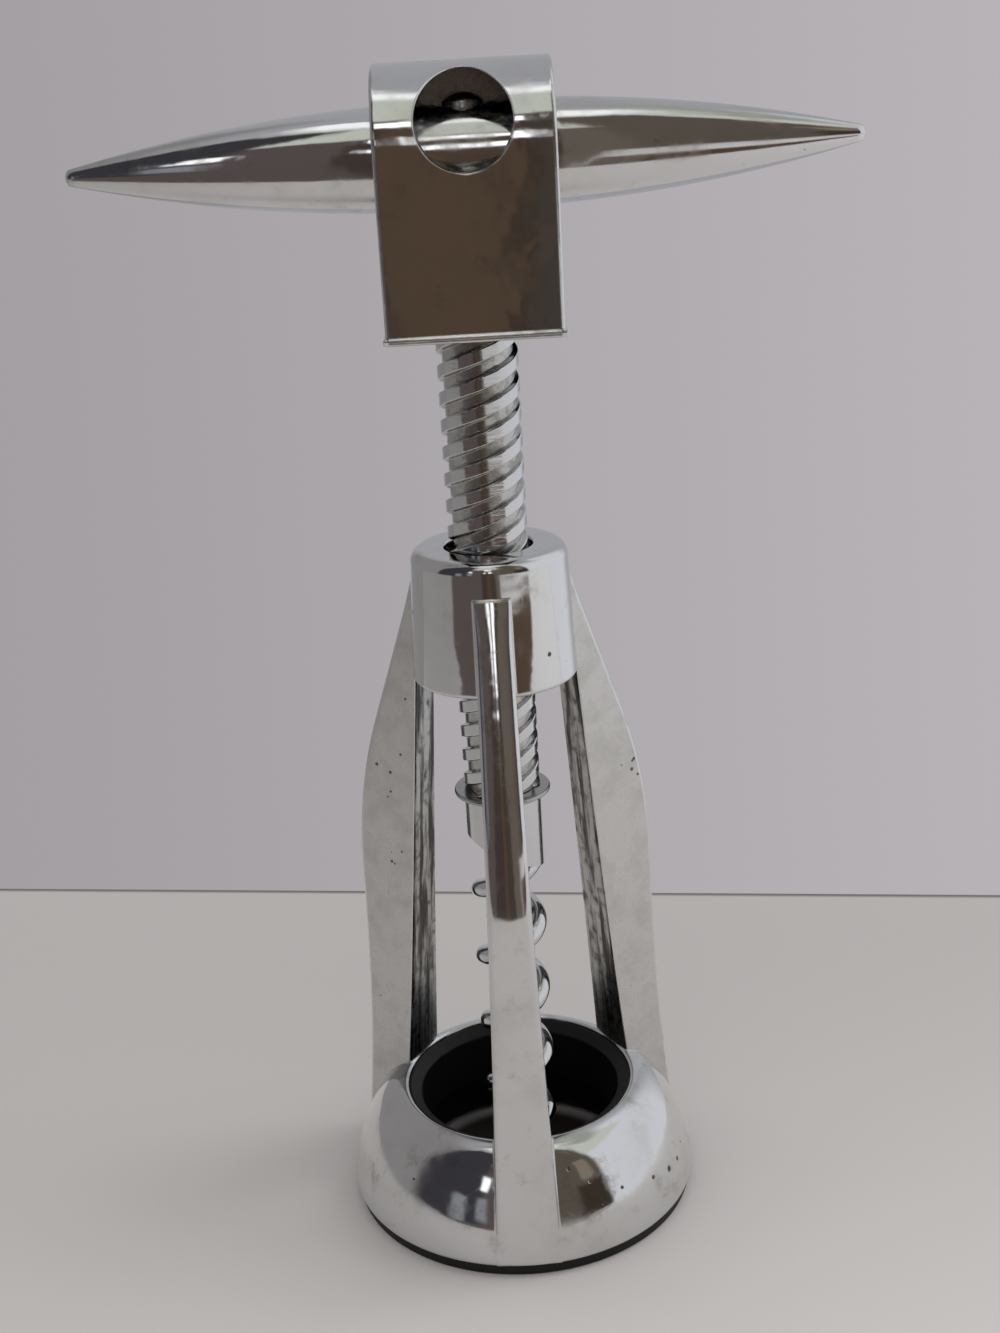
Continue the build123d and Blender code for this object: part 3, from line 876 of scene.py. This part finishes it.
# %% Masks of wear on the castings
cast_chrome, tree, shader, place = new_material("chrome_on_die_cast_zinc", "#DCDDDE", Metallic=1.0)
ripple = node(tree, "ShaderNodeTexNoise", place, Scale=per_size(6), Detail=2.0)
film = node(tree, "ShaderNodeTexNoise", place, Scale=per_size(9), Detail=6.0, Roughness=0.65)
film_mask = node(tree, "ShaderNodeMapRange", film, 0.46, 0.74, **smooth)

elsewhere = node(tree, "ShaderNodeMapping", place, Location=(0.013, 0.02, 0.004))
stain = node(tree, "ShaderNodeTexNoise", elsewhere, Scale=per_size(5), Detail=7.0, Roughness=0.7)
height = node(tree, "ShaderNodeSeparateXYZ", place).outputs["Z"]
low_down = node(tree, "ShaderNodeMapRange", height, 0.02, 0.06, 0.035, -0.01, **smooth)
wetted = node(tree, "ShaderNodeMath", stain, low_down, operation="ADD")
stain_mask = node(tree, "ShaderNodeMapRange", wetted, 0.56, 0.74, **smooth)

strokes = node(tree, "ShaderNodeMapping", place, Rotation=(0.4, 0.7, 0.3), Scale=(1, 14, 1))
hairs = node(tree, "ShaderNodeTexNoise", strokes, Scale=per_size(7), Detail=3.0)
hair_mask = node(tree, "ShaderNodeMapRange", hairs, 0.62, 0.66, **smooth)

cells = node(tree, "ShaderNodeTexVoronoi", place, Scale=per_size(2.6), Randomness=1.0)
pit_size = node(tree, "ShaderNodeTexNoise", place, Scale=per_size(14), Detail=2.0)
pit_reach = node(tree, "ShaderNodeMapRange", pit_size, 0.5, 0.74, 0.0, 0.2, **smooth)
pit_depth = node(tree, "ShaderNodeMath", pit_reach, cells, operation="SUBTRACT")
pit_mask = node(tree, "ShaderNodeMapRange", pit_depth, 0.0, 0.05, **smooth)

# %% Worn chrome from its masks
dulled = node(tree, "ShaderNodeMath", film_mask, stain_mask, operation="MAXIMUM")
film_rough = node(tree, "ShaderNodeMapRange", dulled, 0.0, 1.0, 0.06, 0.2, **smooth)
hair_rough = node(tree, "ShaderNodeMath", hair_mask, 0.07, film_rough, operation="MULTIPLY_ADD")
pit_rough = node(tree, "ShaderNodeMath", pit_mask, 0.55, operation="MULTIPLY")
roughness = node(tree, "ShaderNodeMath", hair_rough, pit_rough, operation="MAXIMUM")
filmed = node(tree, "ShaderNodeMix", film_mask, linear("#DCDDDE"), linear("#D2D2D0"), **colours)
stained = node(tree, "ShaderNodeMix", stain_mask, filmed, linear("#BBBCB5"), **colours)
pitted = node(tree, "ShaderNodeMix", pit_mask, stained, linear("#6C665F"), **colours)
soft_edge = node(tree, "ShaderNodeBevel", Radius=0.35 * MM, samples=6)
waves = node(tree, "ShaderNodeMath", ripple, 3.0, operation="MULTIPLY")
holes = node(tree, "ShaderNodeMath", pit_mask, 1.2, operation="MULTIPLY")
surface = node(tree, "ShaderNodeMath", waves, holes, operation="SUBTRACT")
relief = node(tree, "ShaderNodeBump", Height=surface, Distance=0.02 * MM, Normal=soft_edge)
wire(shader, Base_Color=pitted, Roughness=roughness, Normal=relief)

# %% [markdown]
# ### Chrome on faces nobody polished, and painted shade in the window
# The buffing wheel can't reach the inner faces of the ribs. There the chrome covers the casting as it
# left the mould: grey, rough, with streaks along the draw of the mould. The eye reads them as dark. The
# same dark finish is laid on the window's wall as painted shade inside the hole.

# %% Unpolished chrome, also painted shade in the window
raw_chrome_and_window_shade, tree, shader, place = new_material("chrome_on_rough_casting", "#6E6C69", Metallic=1.0)
drawn_out = node(tree, "ShaderNodeMapping", place, Scale=(1, 1, 0.04))
streaks = node(tree, "ShaderNodeTexNoise", drawn_out, Scale=per_size(1.3), Detail=4.0, Roughness=0.6)
mottle = node(tree, "ShaderNodeTexNoise", place, Scale=per_size(1.6), Detail=6.0)
streak_mask = node(tree, "ShaderNodeMapRange", streaks, 0.4, 0.58, **smooth)
mottle_mask = node(tree, "ShaderNodeMapRange", mottle, 0.5, 0.75, **smooth)
roughness = node(tree, "ShaderNodeMapRange", mottle, 0.3, 0.7, 0.24, 0.42, **smooth)
streaked = node(tree, "ShaderNodeMix", streak_mask, linear("#3C3B39"), linear("#BAB9B6"), **colours)
mottled = node(tree, "ShaderNodeMix", mottle_mask, streaked, linear("#5A5753"), **colours)
relief = node(tree, "ShaderNodeBump", Height=streaks, Distance=0.03 * MM)
wire(shader, Base_Color=mottled, Roughness=roughness, Normal=relief)

# %% [markdown]
# ### Satin chrome on the ribs' sides
# The flat sides of the ribs were linished on a belt before plating, not buffed. They are pale and soft,
# with a mottled bloom, dark specks where the plating has gone, and no clear picture of the room.

# %% Satin chrome
satin_chrome, tree, shader, place = new_material("satin_chrome_on_linished_zinc", "#C9C9C7", Metallic=1.0)
bloom = node(tree, "ShaderNodeTexNoise", place, Scale=per_size(4), Detail=8.0, Roughness=0.7)
specks = node(tree, "ShaderNodeTexVoronoi", place, Scale=per_size(1.5), Randomness=1.0)
clusters = node(tree, "ShaderNodeTexNoise", place, Scale=per_size(7), Detail=3.0)
speck_reach = node(tree, "ShaderNodeMapRange", clusters, 0.5, 0.68, 0.0, 0.2, **smooth)
speck_depth = node(tree, "ShaderNodeMath", speck_reach, specks, operation="SUBTRACT")
speck_mask = node(tree, "ShaderNodeMapRange", speck_depth, 0.0, 0.06, **smooth)
bloom_mask = node(tree, "ShaderNodeMapRange", bloom, 0.4, 0.7, **smooth)
roughness = node(tree, "ShaderNodeMapRange", bloom, 0.35, 0.65, 0.25, 0.33, **smooth)
bloomed = node(tree, "ShaderNodeMix", bloom_mask, linear("#D4D4D3"), linear("#C9C9C6"), **colours)
specked = node(tree, "ShaderNodeMix", speck_mask, bloomed, linear("#6A6762"), **colours)
relief = node(tree, "ShaderNodeBump", Height=bloom, Distance=0.01 * MM)
wire(shader, Base_Color=specked, Roughness=roughness, Normal=relief)

# %% [markdown]
# ### Plated steel of the screw
# The screw is cut from steel bar and plated. Its lands rub in the nut, so they are bright and slightly
# scored around the axis, and the grooves are darker and duller, with a random mottle. How far a point
# is from the axis tells the one from the other.

# %% Plated screw thread
screw_chrome, tree, shader, place = new_material("plated_cut_steel", "#CFD0D2", Metallic=1.0)
groove_end, crest_start = (root_radius + 0.2) * MM, (screw_radius - 0.1) * MM
flattened = node(tree, "ShaderNodeMapping", place, Scale=(1, 1, 0))
from_axis = node(tree, "ShaderNodeVectorMath", flattened, operation="LENGTH")
on_crest = node(tree, "ShaderNodeMapRange", from_axis, groove_end, crest_start, **smooth)
grime = node(tree, "ShaderNodeTexNoise", place, Scale=per_size(3), Detail=5.0, Roughness=0.7)
rings = node(tree, "ShaderNodeMapping", place, Scale=(1, 1, 12))
scoring = node(tree, "ShaderNodeTexNoise", rings, Scale=per_size(4), Detail=4.0)
grime_mask = node(tree, "ShaderNodeMapRange", grime, 0.4, 0.7, **smooth)
# The grooves are made darker than the lands, mottled at random.
groove_tone = node(tree, "ShaderNodeMix", grime_mask, linear("#C2C2C0"), linear("#9E9A93"), **colours)
plated = node(tree, "ShaderNodeMix", on_crest, groove_tone, linear("#D3D4D6"), **colours)
groove_rough = node(tree, "ShaderNodeMapRange", grime, 0.35, 0.7, 0.16, 0.38, **smooth)
crest_rough = node(tree, "ShaderNodeMapRange", scoring, 0.35, 0.7, 0.08, 0.2, **smooth)
roughness = node(tree, "ShaderNodeMix", on_crest, groove_rough, crest_rough)
relief = node(tree, "ShaderNodeBump", Height=scoring, Distance=0.012 * MM)
wire(shader, Base_Color=plated, Roughness=roughness, Normal=relief)

# %% [markdown]
# ### Bright wire
# The worm is drawn wire, coiled, ground to a point and plated: an even mirror with faint draw marks
# along it. They are finer on real wire, and are drawn as coarse as they need to show.

# %% Bright plated wire
wire_chrome, tree, shader, place = new_material("bright_plated_wire", "#D6D7D9", Metallic=1.0)
draw_marks = node(tree, "ShaderNodeTexNoise", place, Scale=per_size(1.4), Detail=3.0)
roughness = node(tree, "ShaderNodeMapRange", draw_marks, 0.4, 0.7, 0.06, 0.16, **smooth)
relief = node(tree, "ShaderNodeBump", Height=draw_marks, Distance=0.008 * MM)
wire(shader, Roughness=roughness, Normal=relief)

# %% [markdown]
# ### Bare spring steel, brass and black plastic
# The washer, retaining ring and cap nut are bare steel with a greyer, broader shine. The nut is brass
# and hidden. The liner and foot are black ABS from a lightly textured mould: dark, with a soft broad
# highlight and a little dust. The mould's grain is about 0.1 mm on the real one and is drawn at 0.4 mm,
# so that it shows.

# %% Bare steel
bare_steel, tree, shader, place = new_material("tumbled_bare_steel", "#B4B3B2", Metallic=1.0)
tumble = node(tree, "ShaderNodeTexNoise", place, Scale=per_size(0.8), Detail=4.0)
roughness = node(tree, "ShaderNodeMapRange", tumble, 0.3, 0.7, 0.2, 0.36, **smooth)
relief = node(tree, "ShaderNodeBump", Height=tumble, Distance=0.01 * MM)
wire(shader, Roughness=roughness, Normal=relief)

# %% Turned brass
brass, tree, shader, place = new_material("turned_brass", "#C8A766", Metallic=1.0)
rings = node(tree, "ShaderNodeMapping", place, Scale=(1, 1, 10))
turning = node(tree, "ShaderNodeTexNoise", rings, Scale=per_size(5), Detail=2.0)
wire(shader, Roughness=node(tree, "ShaderNodeMapRange", turning, 0.3, 0.7, 0.2, 0.35, **smooth))

# %% Moulded black plastic
black_abs, tree, shader, place = new_material(
    "moulded_black_abs", "#0E0E0E", Roughness=0.5, IOR=1.53, Specular_IOR_Level=0.3
)
grain = node(tree, "ShaderNodeTexNoise", place, Scale=per_size(0.4), Detail=2.0)
dust = node(tree, "ShaderNodeTexNoise", place, Scale=per_size(2.5), Detail=8.0)
dust_mask = node(tree, "ShaderNodeMapRange", dust, 0.6, 0.85, 0.0, 0.3, **smooth)
dusty = node(tree, "ShaderNodeMix", dust_mask, linear("#0D0D0D"), linear("#33312F"), **colours)
relief = node(tree, "ShaderNodeBump", Height=grain, Distance=0.02 * MM, Strength=0.6)
wire(shader, Base_Color=dusty, Normal=relief)

# %% [markdown]
# ## Dressing the frame
# Each piece gets its finish, rides on its body and stands for its CAD node. The nut and its ring stay
# as CAD solids: they are hidden in the collar, and a plain finish is enough.

# %% Finish, body and node of each piece
dressed = [
    (cage, cast_chrome, "cage", "cage", "cage_chrome"),
    (foot_ring, black_abs, "cage", "foot_ring", "black_plastic"),
    (liner, black_abs, "cage", "bottle_guide", "black_plastic"),
    (washer, bare_steel, "stop", "stop_washer", "spring_steel"),
    (lead_screw, screw_chrome, "screw", "lead_screw", "screw_chrome"),
    (worm, wire_chrome, "screw", "worm", "worm_steel"),
    (head, cast_chrome, "screw", "head_block", "cage_chrome"),
    (handle, cast_chrome, "screw", "handle_bar", "cage_chrome"),
    (cap_nut, bare_steel, "screw", "cap_nut", "spring_steel"),
]
for piece, finish, body, replaced, record_slot in dressed:
    piece.data.materials.clear()
    piece.data.materials.append(finish)
    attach(piece, body)
    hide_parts(replaced)
for name, finish in (("thread_nut", brass), ("nut_ring", bare_steel)):
    nodes[name].data.materials.clear()
    nodes[name].data.materials.append(finish)
print("pieces:", [piece.name for piece, *_ in dressed])

# %% [markdown]
# Some faces of the cage and of the head have another finish than the rest. They are picked by where
# they are and which way they face, and get a further material. The window's flat back was faced with a
# cutter before plating and has the broad grey shine of the tumbled steel, so it shares that finish.

# %% Picking faces
touching = 0.1
rib_angles = (0, 2 * pi / 3, -2 * pi / 3)


def refinished(piece, finish, is_picked):
    """Gives the faces that a test picks another finish, as a further material."""
    piece.data.materials.append(finish)
    picked = [face for face in piece.data.polygons if is_picked(face.center / MM, face.normal)]
    for face in picked:
        face.material_index = len(piece.data.materials) - 1
    print(finish.name, "on", piece.name, "faces:", len(picked))


def rib_directions(centre):
    """Outward and sideways direction of the rib that is nearest to a point."""
    outward = max((Vector((sin(a), -cos(a), 0)) for a in rib_angles), key=centre.dot)
    return outward, Vector((-outward.y, outward.x, 0))


def inner_face(centre, normal):
    return mouth_height < centre.z < collar_bottom and normal.dot(rib_directions(centre)[0]) < -0.7


def side_face(centre, normal):
    sideways = rib_directions(centre)[1]
    return abs(normal.dot(sideways)) > 0.95 and abs(centre.dot(sideways)) < low_width / 2 + touching


def window_wall(centre, normal):
    from_axis = Vector((centre.x, 0, centre.z - window_height))
    on_wall = abs(from_axis.length - window_radius) < touching and normal.dot(from_axis.normalized()) < -0.9
    return on_wall and centre.y < 0


def window_back_face(centre, normal):
    return abs(centre.y - window_back) < touching and normal.y < -0.9


refinished(cage, raw_chrome_and_window_shade, inner_face)
refinished(cage, satin_chrome, side_face)
# The window's wall takes the dark unpolished chrome as painted shade inside the hole.
refinished(head, raw_chrome_and_window_shade, window_wall)
refinished(head, bare_steel, window_back_face)

# %% [markdown]
# ## Table, room and camera
# Chrome has no colour of its own, so its look is the room's. The room here is a pale one with one dark
# opening in front, behind the camera, and three lamps in that opening. The table is pale too and ends
# about a hand's length in front of the object, and beyond its edge the chrome sees the dark again.
# Places in the room are given as angles: the bearing is 0 straight ahead, towards -Y, and grows to the
# right. Where two finishes or two parts of the room meet, the change is spread over a soft edge.

# %% Windows between angles
def window_between(tree, value, low, high, soft):
    """One between two values, falling off over a soft edge."""
    opens = node(tree, "ShaderNodeMapRange", value, low - soft, low + soft, **smooth)
    closes = node(tree, "ShaderNodeMapRange", value, high - soft, high + soft, 1.0, 0.0, **smooth)
    return node(tree, "ShaderNodeMath", opens, closes, operation="MULTIPLY")


def window_of(tree, angle, low, high, soft):
    return window_between(tree, angle, radians(low), radians(high), radians(soft))


def bearing_of(tree, x, y):
    """Angle of a direction, zero towards -Y and growing to the right."""
    ahead = node(tree, "ShaderNodeMath", y, -1.0, operation="MULTIPLY")
    return node(tree, "ShaderNodeMath", x, ahead, operation="ARCTAN2")


def curtain_colour(tree, bearing):
    """Colour of the dark opening by bearing: brown with a few upright folds."""
    colour = linear("#57473A")
    folds = [(-60, -12, "#5C5350"), (-12, -4.3, "#453C38"), (1.8, 2.3, "#2A241F"), (2.3, 8, "#48413B")]
    for left, right, hex_colour in folds + [(8, 22, "#6B6258")]:
        fold = window_of(tree, bearing, left, right, 0.3)
        colour = node(tree, "ShaderNodeMix", fold, colour, linear(hex_colour), **colours)
    return colour


# %% Table top
table_back, table_back_slope = 0.0877, -0.142
table_front_edge, table_half = -0.185, 0.9
corners = [(-table_half, -2 * table_half, 0), (table_half, -2 * table_half, 0)]
corners += [(x, table_back + table_back_slope * x, 0) for x in (table_half, -table_half)]
table_mesh = bpy.data.meshes.new("table_top")
table_mesh.from_pydata(corners, [], [(0, 1, 2, 3)])
table = mesh_object("table_top", table_mesh)

# %% [markdown]
# The table is painted pale grey and matt. On top of that, painted shade makes it a little darker towards
# the back, draws a thin dark line along the crease where it meets the wall and darkens it inside the bell's
# mouth, where little light gets in. What the chrome mirrors of it differs from what the camera sees, since
# the light falls on it from other sides.

# %% Table paint
table_paint, tree, shader, place = new_material(
    "pale_table_paint", "#BDB9B7", Roughness=0.6, Specular_IOR_Level=0.2
)
x, y, _ = node(tree, "ShaderNodeSeparateXYZ", place).outputs
reach = node(tree, "ShaderNodeVectorMath", place, operation="LENGTH")
mirrored = node(tree, "ShaderNodeLightPath").outputs["Is Glossy Ray"]
# Painted shade: the table is a little darker towards the back.
painted_shade_to_back = node(tree, "ShaderNodeMapRange", y, -0.12, 0.07, **smooth)
leftwards = node(tree, "ShaderNodeMapRange", x, -0.3, 0.0, **smooth)
rightwards = node(tree, "ShaderNodeMapRange", x, 0.0, 0.3, **smooth)
paint = node(tree, "ShaderNodeMix", painted_shade_to_back, linear("#CDCAC9"), linear("#AFABAA"), **colours)
sides = node(tree, "ShaderNodeMix", leftwards, linear("#9E9B99"), linear("#BEBAB8"), **colours)
sides = node(tree, "ShaderNodeMix", rightwards, sides, linear("#D6D4D4"), **colours)
paint = node(tree, "ShaderNodeMix", mirrored, paint, sides, **colours)
# Painted shade: inside the bell's mouth the table is dark.
painted_mouth_shade = node(tree, "ShaderNodeMapRange", reach, 0.0135, 0.0165, 1.0, 0.0, **smooth)
paint = node(tree, "ShaderNodeMix", painted_mouth_shade, paint, linear("#2A2723"), **colours)
# Painted shade: a thin dark line along the crease where the table meets the wall.
far_edge = node(tree, "ShaderNodeMath", x, -table_back_slope, y, operation="MULTIPLY_ADD")
painted_wall_line_shade = node(tree, "ShaderNodeMapRange", far_edge, table_back - 0.0016, table_back - 0.0004, **smooth)
wire(shader, Base_Color=node(tree, "ShaderNodeMix", painted_wall_line_shade, paint, linear("#6E6A68"), **colours))

# %% Dark beyond the table's front edge
edge_soft = 0.003
edge_range = (table_front_edge - edge_soft, table_front_edge + edge_soft)
bearing = bearing_of(tree, x, y)
beyond = node(tree, "ShaderNodeMapRange", y, *edge_range, 1.0, 0.0, **smooth)
right, close_by = window_of(tree, bearing, 14, 56, 2), window_between(tree, reach, 0.1, 0.42, 0.02)
near_right = node(tree, "ShaderNodeMath", right, close_by, operation="MULTIPLY")
ahead = window_of(tree, bearing, -56, 14, 2)
dark_sector = node(tree, "ShaderNodeMath", ahead, near_right, operation="MAXIMUM")
dark_beyond = node(tree, "ShaderNodeMath", beyond, dark_sector, operation="MULTIPLY")
dark_beyond = node(tree, "ShaderNodeMath", dark_beyond, mirrored, operation="MULTIPLY")
dark_floor = node(tree, "ShaderNodeEmission", Color=curtain_colour(tree, bearing), Strength=1.0)
either = node(tree, "ShaderNodeMixShader", dark_beyond, shader, dark_floor)
wire(tree.nodes["Material Output"], Surface=either)
table.data.materials.append(table_paint)

# %% Directions in the room
room = bpy.context.scene
room.world = bpy.data.worlds.new("room")
room.world.use_nodes = True
tree = room.world.node_tree
tree.nodes.clear()
direction = node(tree, "ShaderNodeTexCoord").outputs["Generated"]
x, y, z = node(tree, "ShaderNodeSeparateXYZ", direction).outputs
bearing = bearing_of(tree, x, y)
elevation = node(tree, "ShaderNodeMath", z, operation="ARCSINE")


# %% [markdown]
# The room is a list of rectangles, each laid over the ones before it: the bearing from left to right,
# the elevation from low to high and the width of the soft edge, all in degrees, and the colour.


# %% Walls, ceiling and opening
room_patches = [
    ("wall on the right", (40, 140, -90, 70, 12), linear("#DFE0E5")),
    ("wall on the left", (-158, -72, -90, 66, 8), linear("#8F8C8C")),
    ("ceiling in front", (-74, 118, 46, 78, 3), linear("#CFD2C7")),
    ("ceiling on the right", (80, 160, 60, 72, 5), linear("#A5A89E")),
    ("ceiling overhead", (-400, 400, 88, 400, 3), linear("#A7A8AC")),
    ("light strip", (-125, 125, 77, 86, 3), linear("#FFFFFF", 1.2)),
    ("opening, middle", (-40, 30, -90, 49, 1.5), curtain_colour(tree, bearing)),
    ("opening, left wing", (-78, -30, -90, 73, 2.5), linear("#3D3B40")),
    ("opening, right wing", (16, 57, -90, 75, 2.5), linear("#5F574F")),
    ("dark door", (36, 56, -90, 21, 2), linear("#3F362D")),
    ("pale board", (42, 51, 24, 42, 1), linear("#887E6F")),
    ("window pane, left", (-50, -41, -90, 16, 2), linear("#8E9096")),
    ("window pane, right", (-33, -26, 2, 18, 2), linear("#8E9096")),
    ("window light", (-32, -27, 24, 35, 1), linear("#FFFFFF", 1.5)),
    ("lamp, low", (-2.2, 2.8, 19.6, 28.5, 0.5), linear("#FFFFFF", 1.8)),
    ("lamp, left", (-9, -5.2, 20, 26, 0.5), linear("#FFFFFF", 1.6)),
    ("lamp, high", (-9, 2.8, 40.5, 46.5, 0.5), linear("#FFFFFF", 1.8)),
]
room_colour = linear("#ACACB0")
for name, (left, right, low, high, soft), colour in room_patches:
    across = window_of(tree, bearing, left, right, soft)
    upwards = window_of(tree, elevation, low, high, soft)
    patch = node(tree, "ShaderNodeMath", across, upwards, operation="MULTIPLY")
    room_colour = node(tree, "ShaderNodeMix", patch, room_colour, colour, **colours)
print("patches in the room:", len(room_patches))

# %% What camera, matt surfaces and chrome see
side_share = node(tree, "ShaderNodeMapRange", x, -0.35, 0.45, **smooth)
wall_colour = node(tree, "ShaderNodeMix", side_share, linear("#A39FA3"), linear("#B9B5B8"), **colours)
path = node(tree, "ShaderNodeLightPath").outputs
matt_light = linear("#F4F3F2", 0.95)
for_matt = node(tree, "ShaderNodeMix", path["Is Diffuse Ray"], room_colour, matt_light, **colours)
seen = node(tree, "ShaderNodeMix", path["Is Camera Ray"], for_matt, wall_colour, **colours)
lit = node(tree, "ShaderNodeBackground", Color=seen, Strength=1.0)
node(tree, "ShaderNodeOutputWorld", Surface=lit)

# %% A soft lamp for the shadow
key_place, key_aim = Vector((0.55, 0.05, 0.9)), Vector((0, 0, 0.05))
key = bpy.data.lights.new("soft_key", "AREA")
key.energy = 3.0
key.shape = "DISK"
key.size = 0.5
key_lamp = new_object("soft_key", key)
key_lamp.location = key_place
key_lamp.rotation_euler = (key_aim - key_place).to_track_quat("-Z", "Y").to_euler()
key_lamp.visible_glossy = False

# %% [markdown]
# The camera stands in front and above, close to the object, as a hand-held one does: near lines spread
# and the base is seen from above while the bar is seen almost level. Its place, lens and tilt were
# found by fitting a pin-hole camera to edges of the object whose sizes are known.

# %% Camera
camera_distance, camera_pitch, camera_roll = 0.2254, 19.23, -3.3
aim = Vector((0.0006, 0, 0.0761))
camera = bpy.data.cameras.new("camera")
camera.sensor_fit = "HORIZONTAL"
camera.sensor_width = 36.0
camera.lens = 63.0
camera.clip_start = 0.01
view = new_object("camera", camera)
back = Vector((0, -cos(radians(camera_pitch)), sin(radians(camera_pitch))))
turn = (-back).to_track_quat("-Z", "Y").to_matrix().to_4x4() @ Matrix.Rotation(radians(camera_roll), 4, "Z")
view.matrix_world = Matrix.Translation(aim + back * camera_distance) @ turn
room.camera = view
room.view_settings.view_transform = "Standard"
print("camera at", [round(v / MM, 1) for v in view.location], "mm")
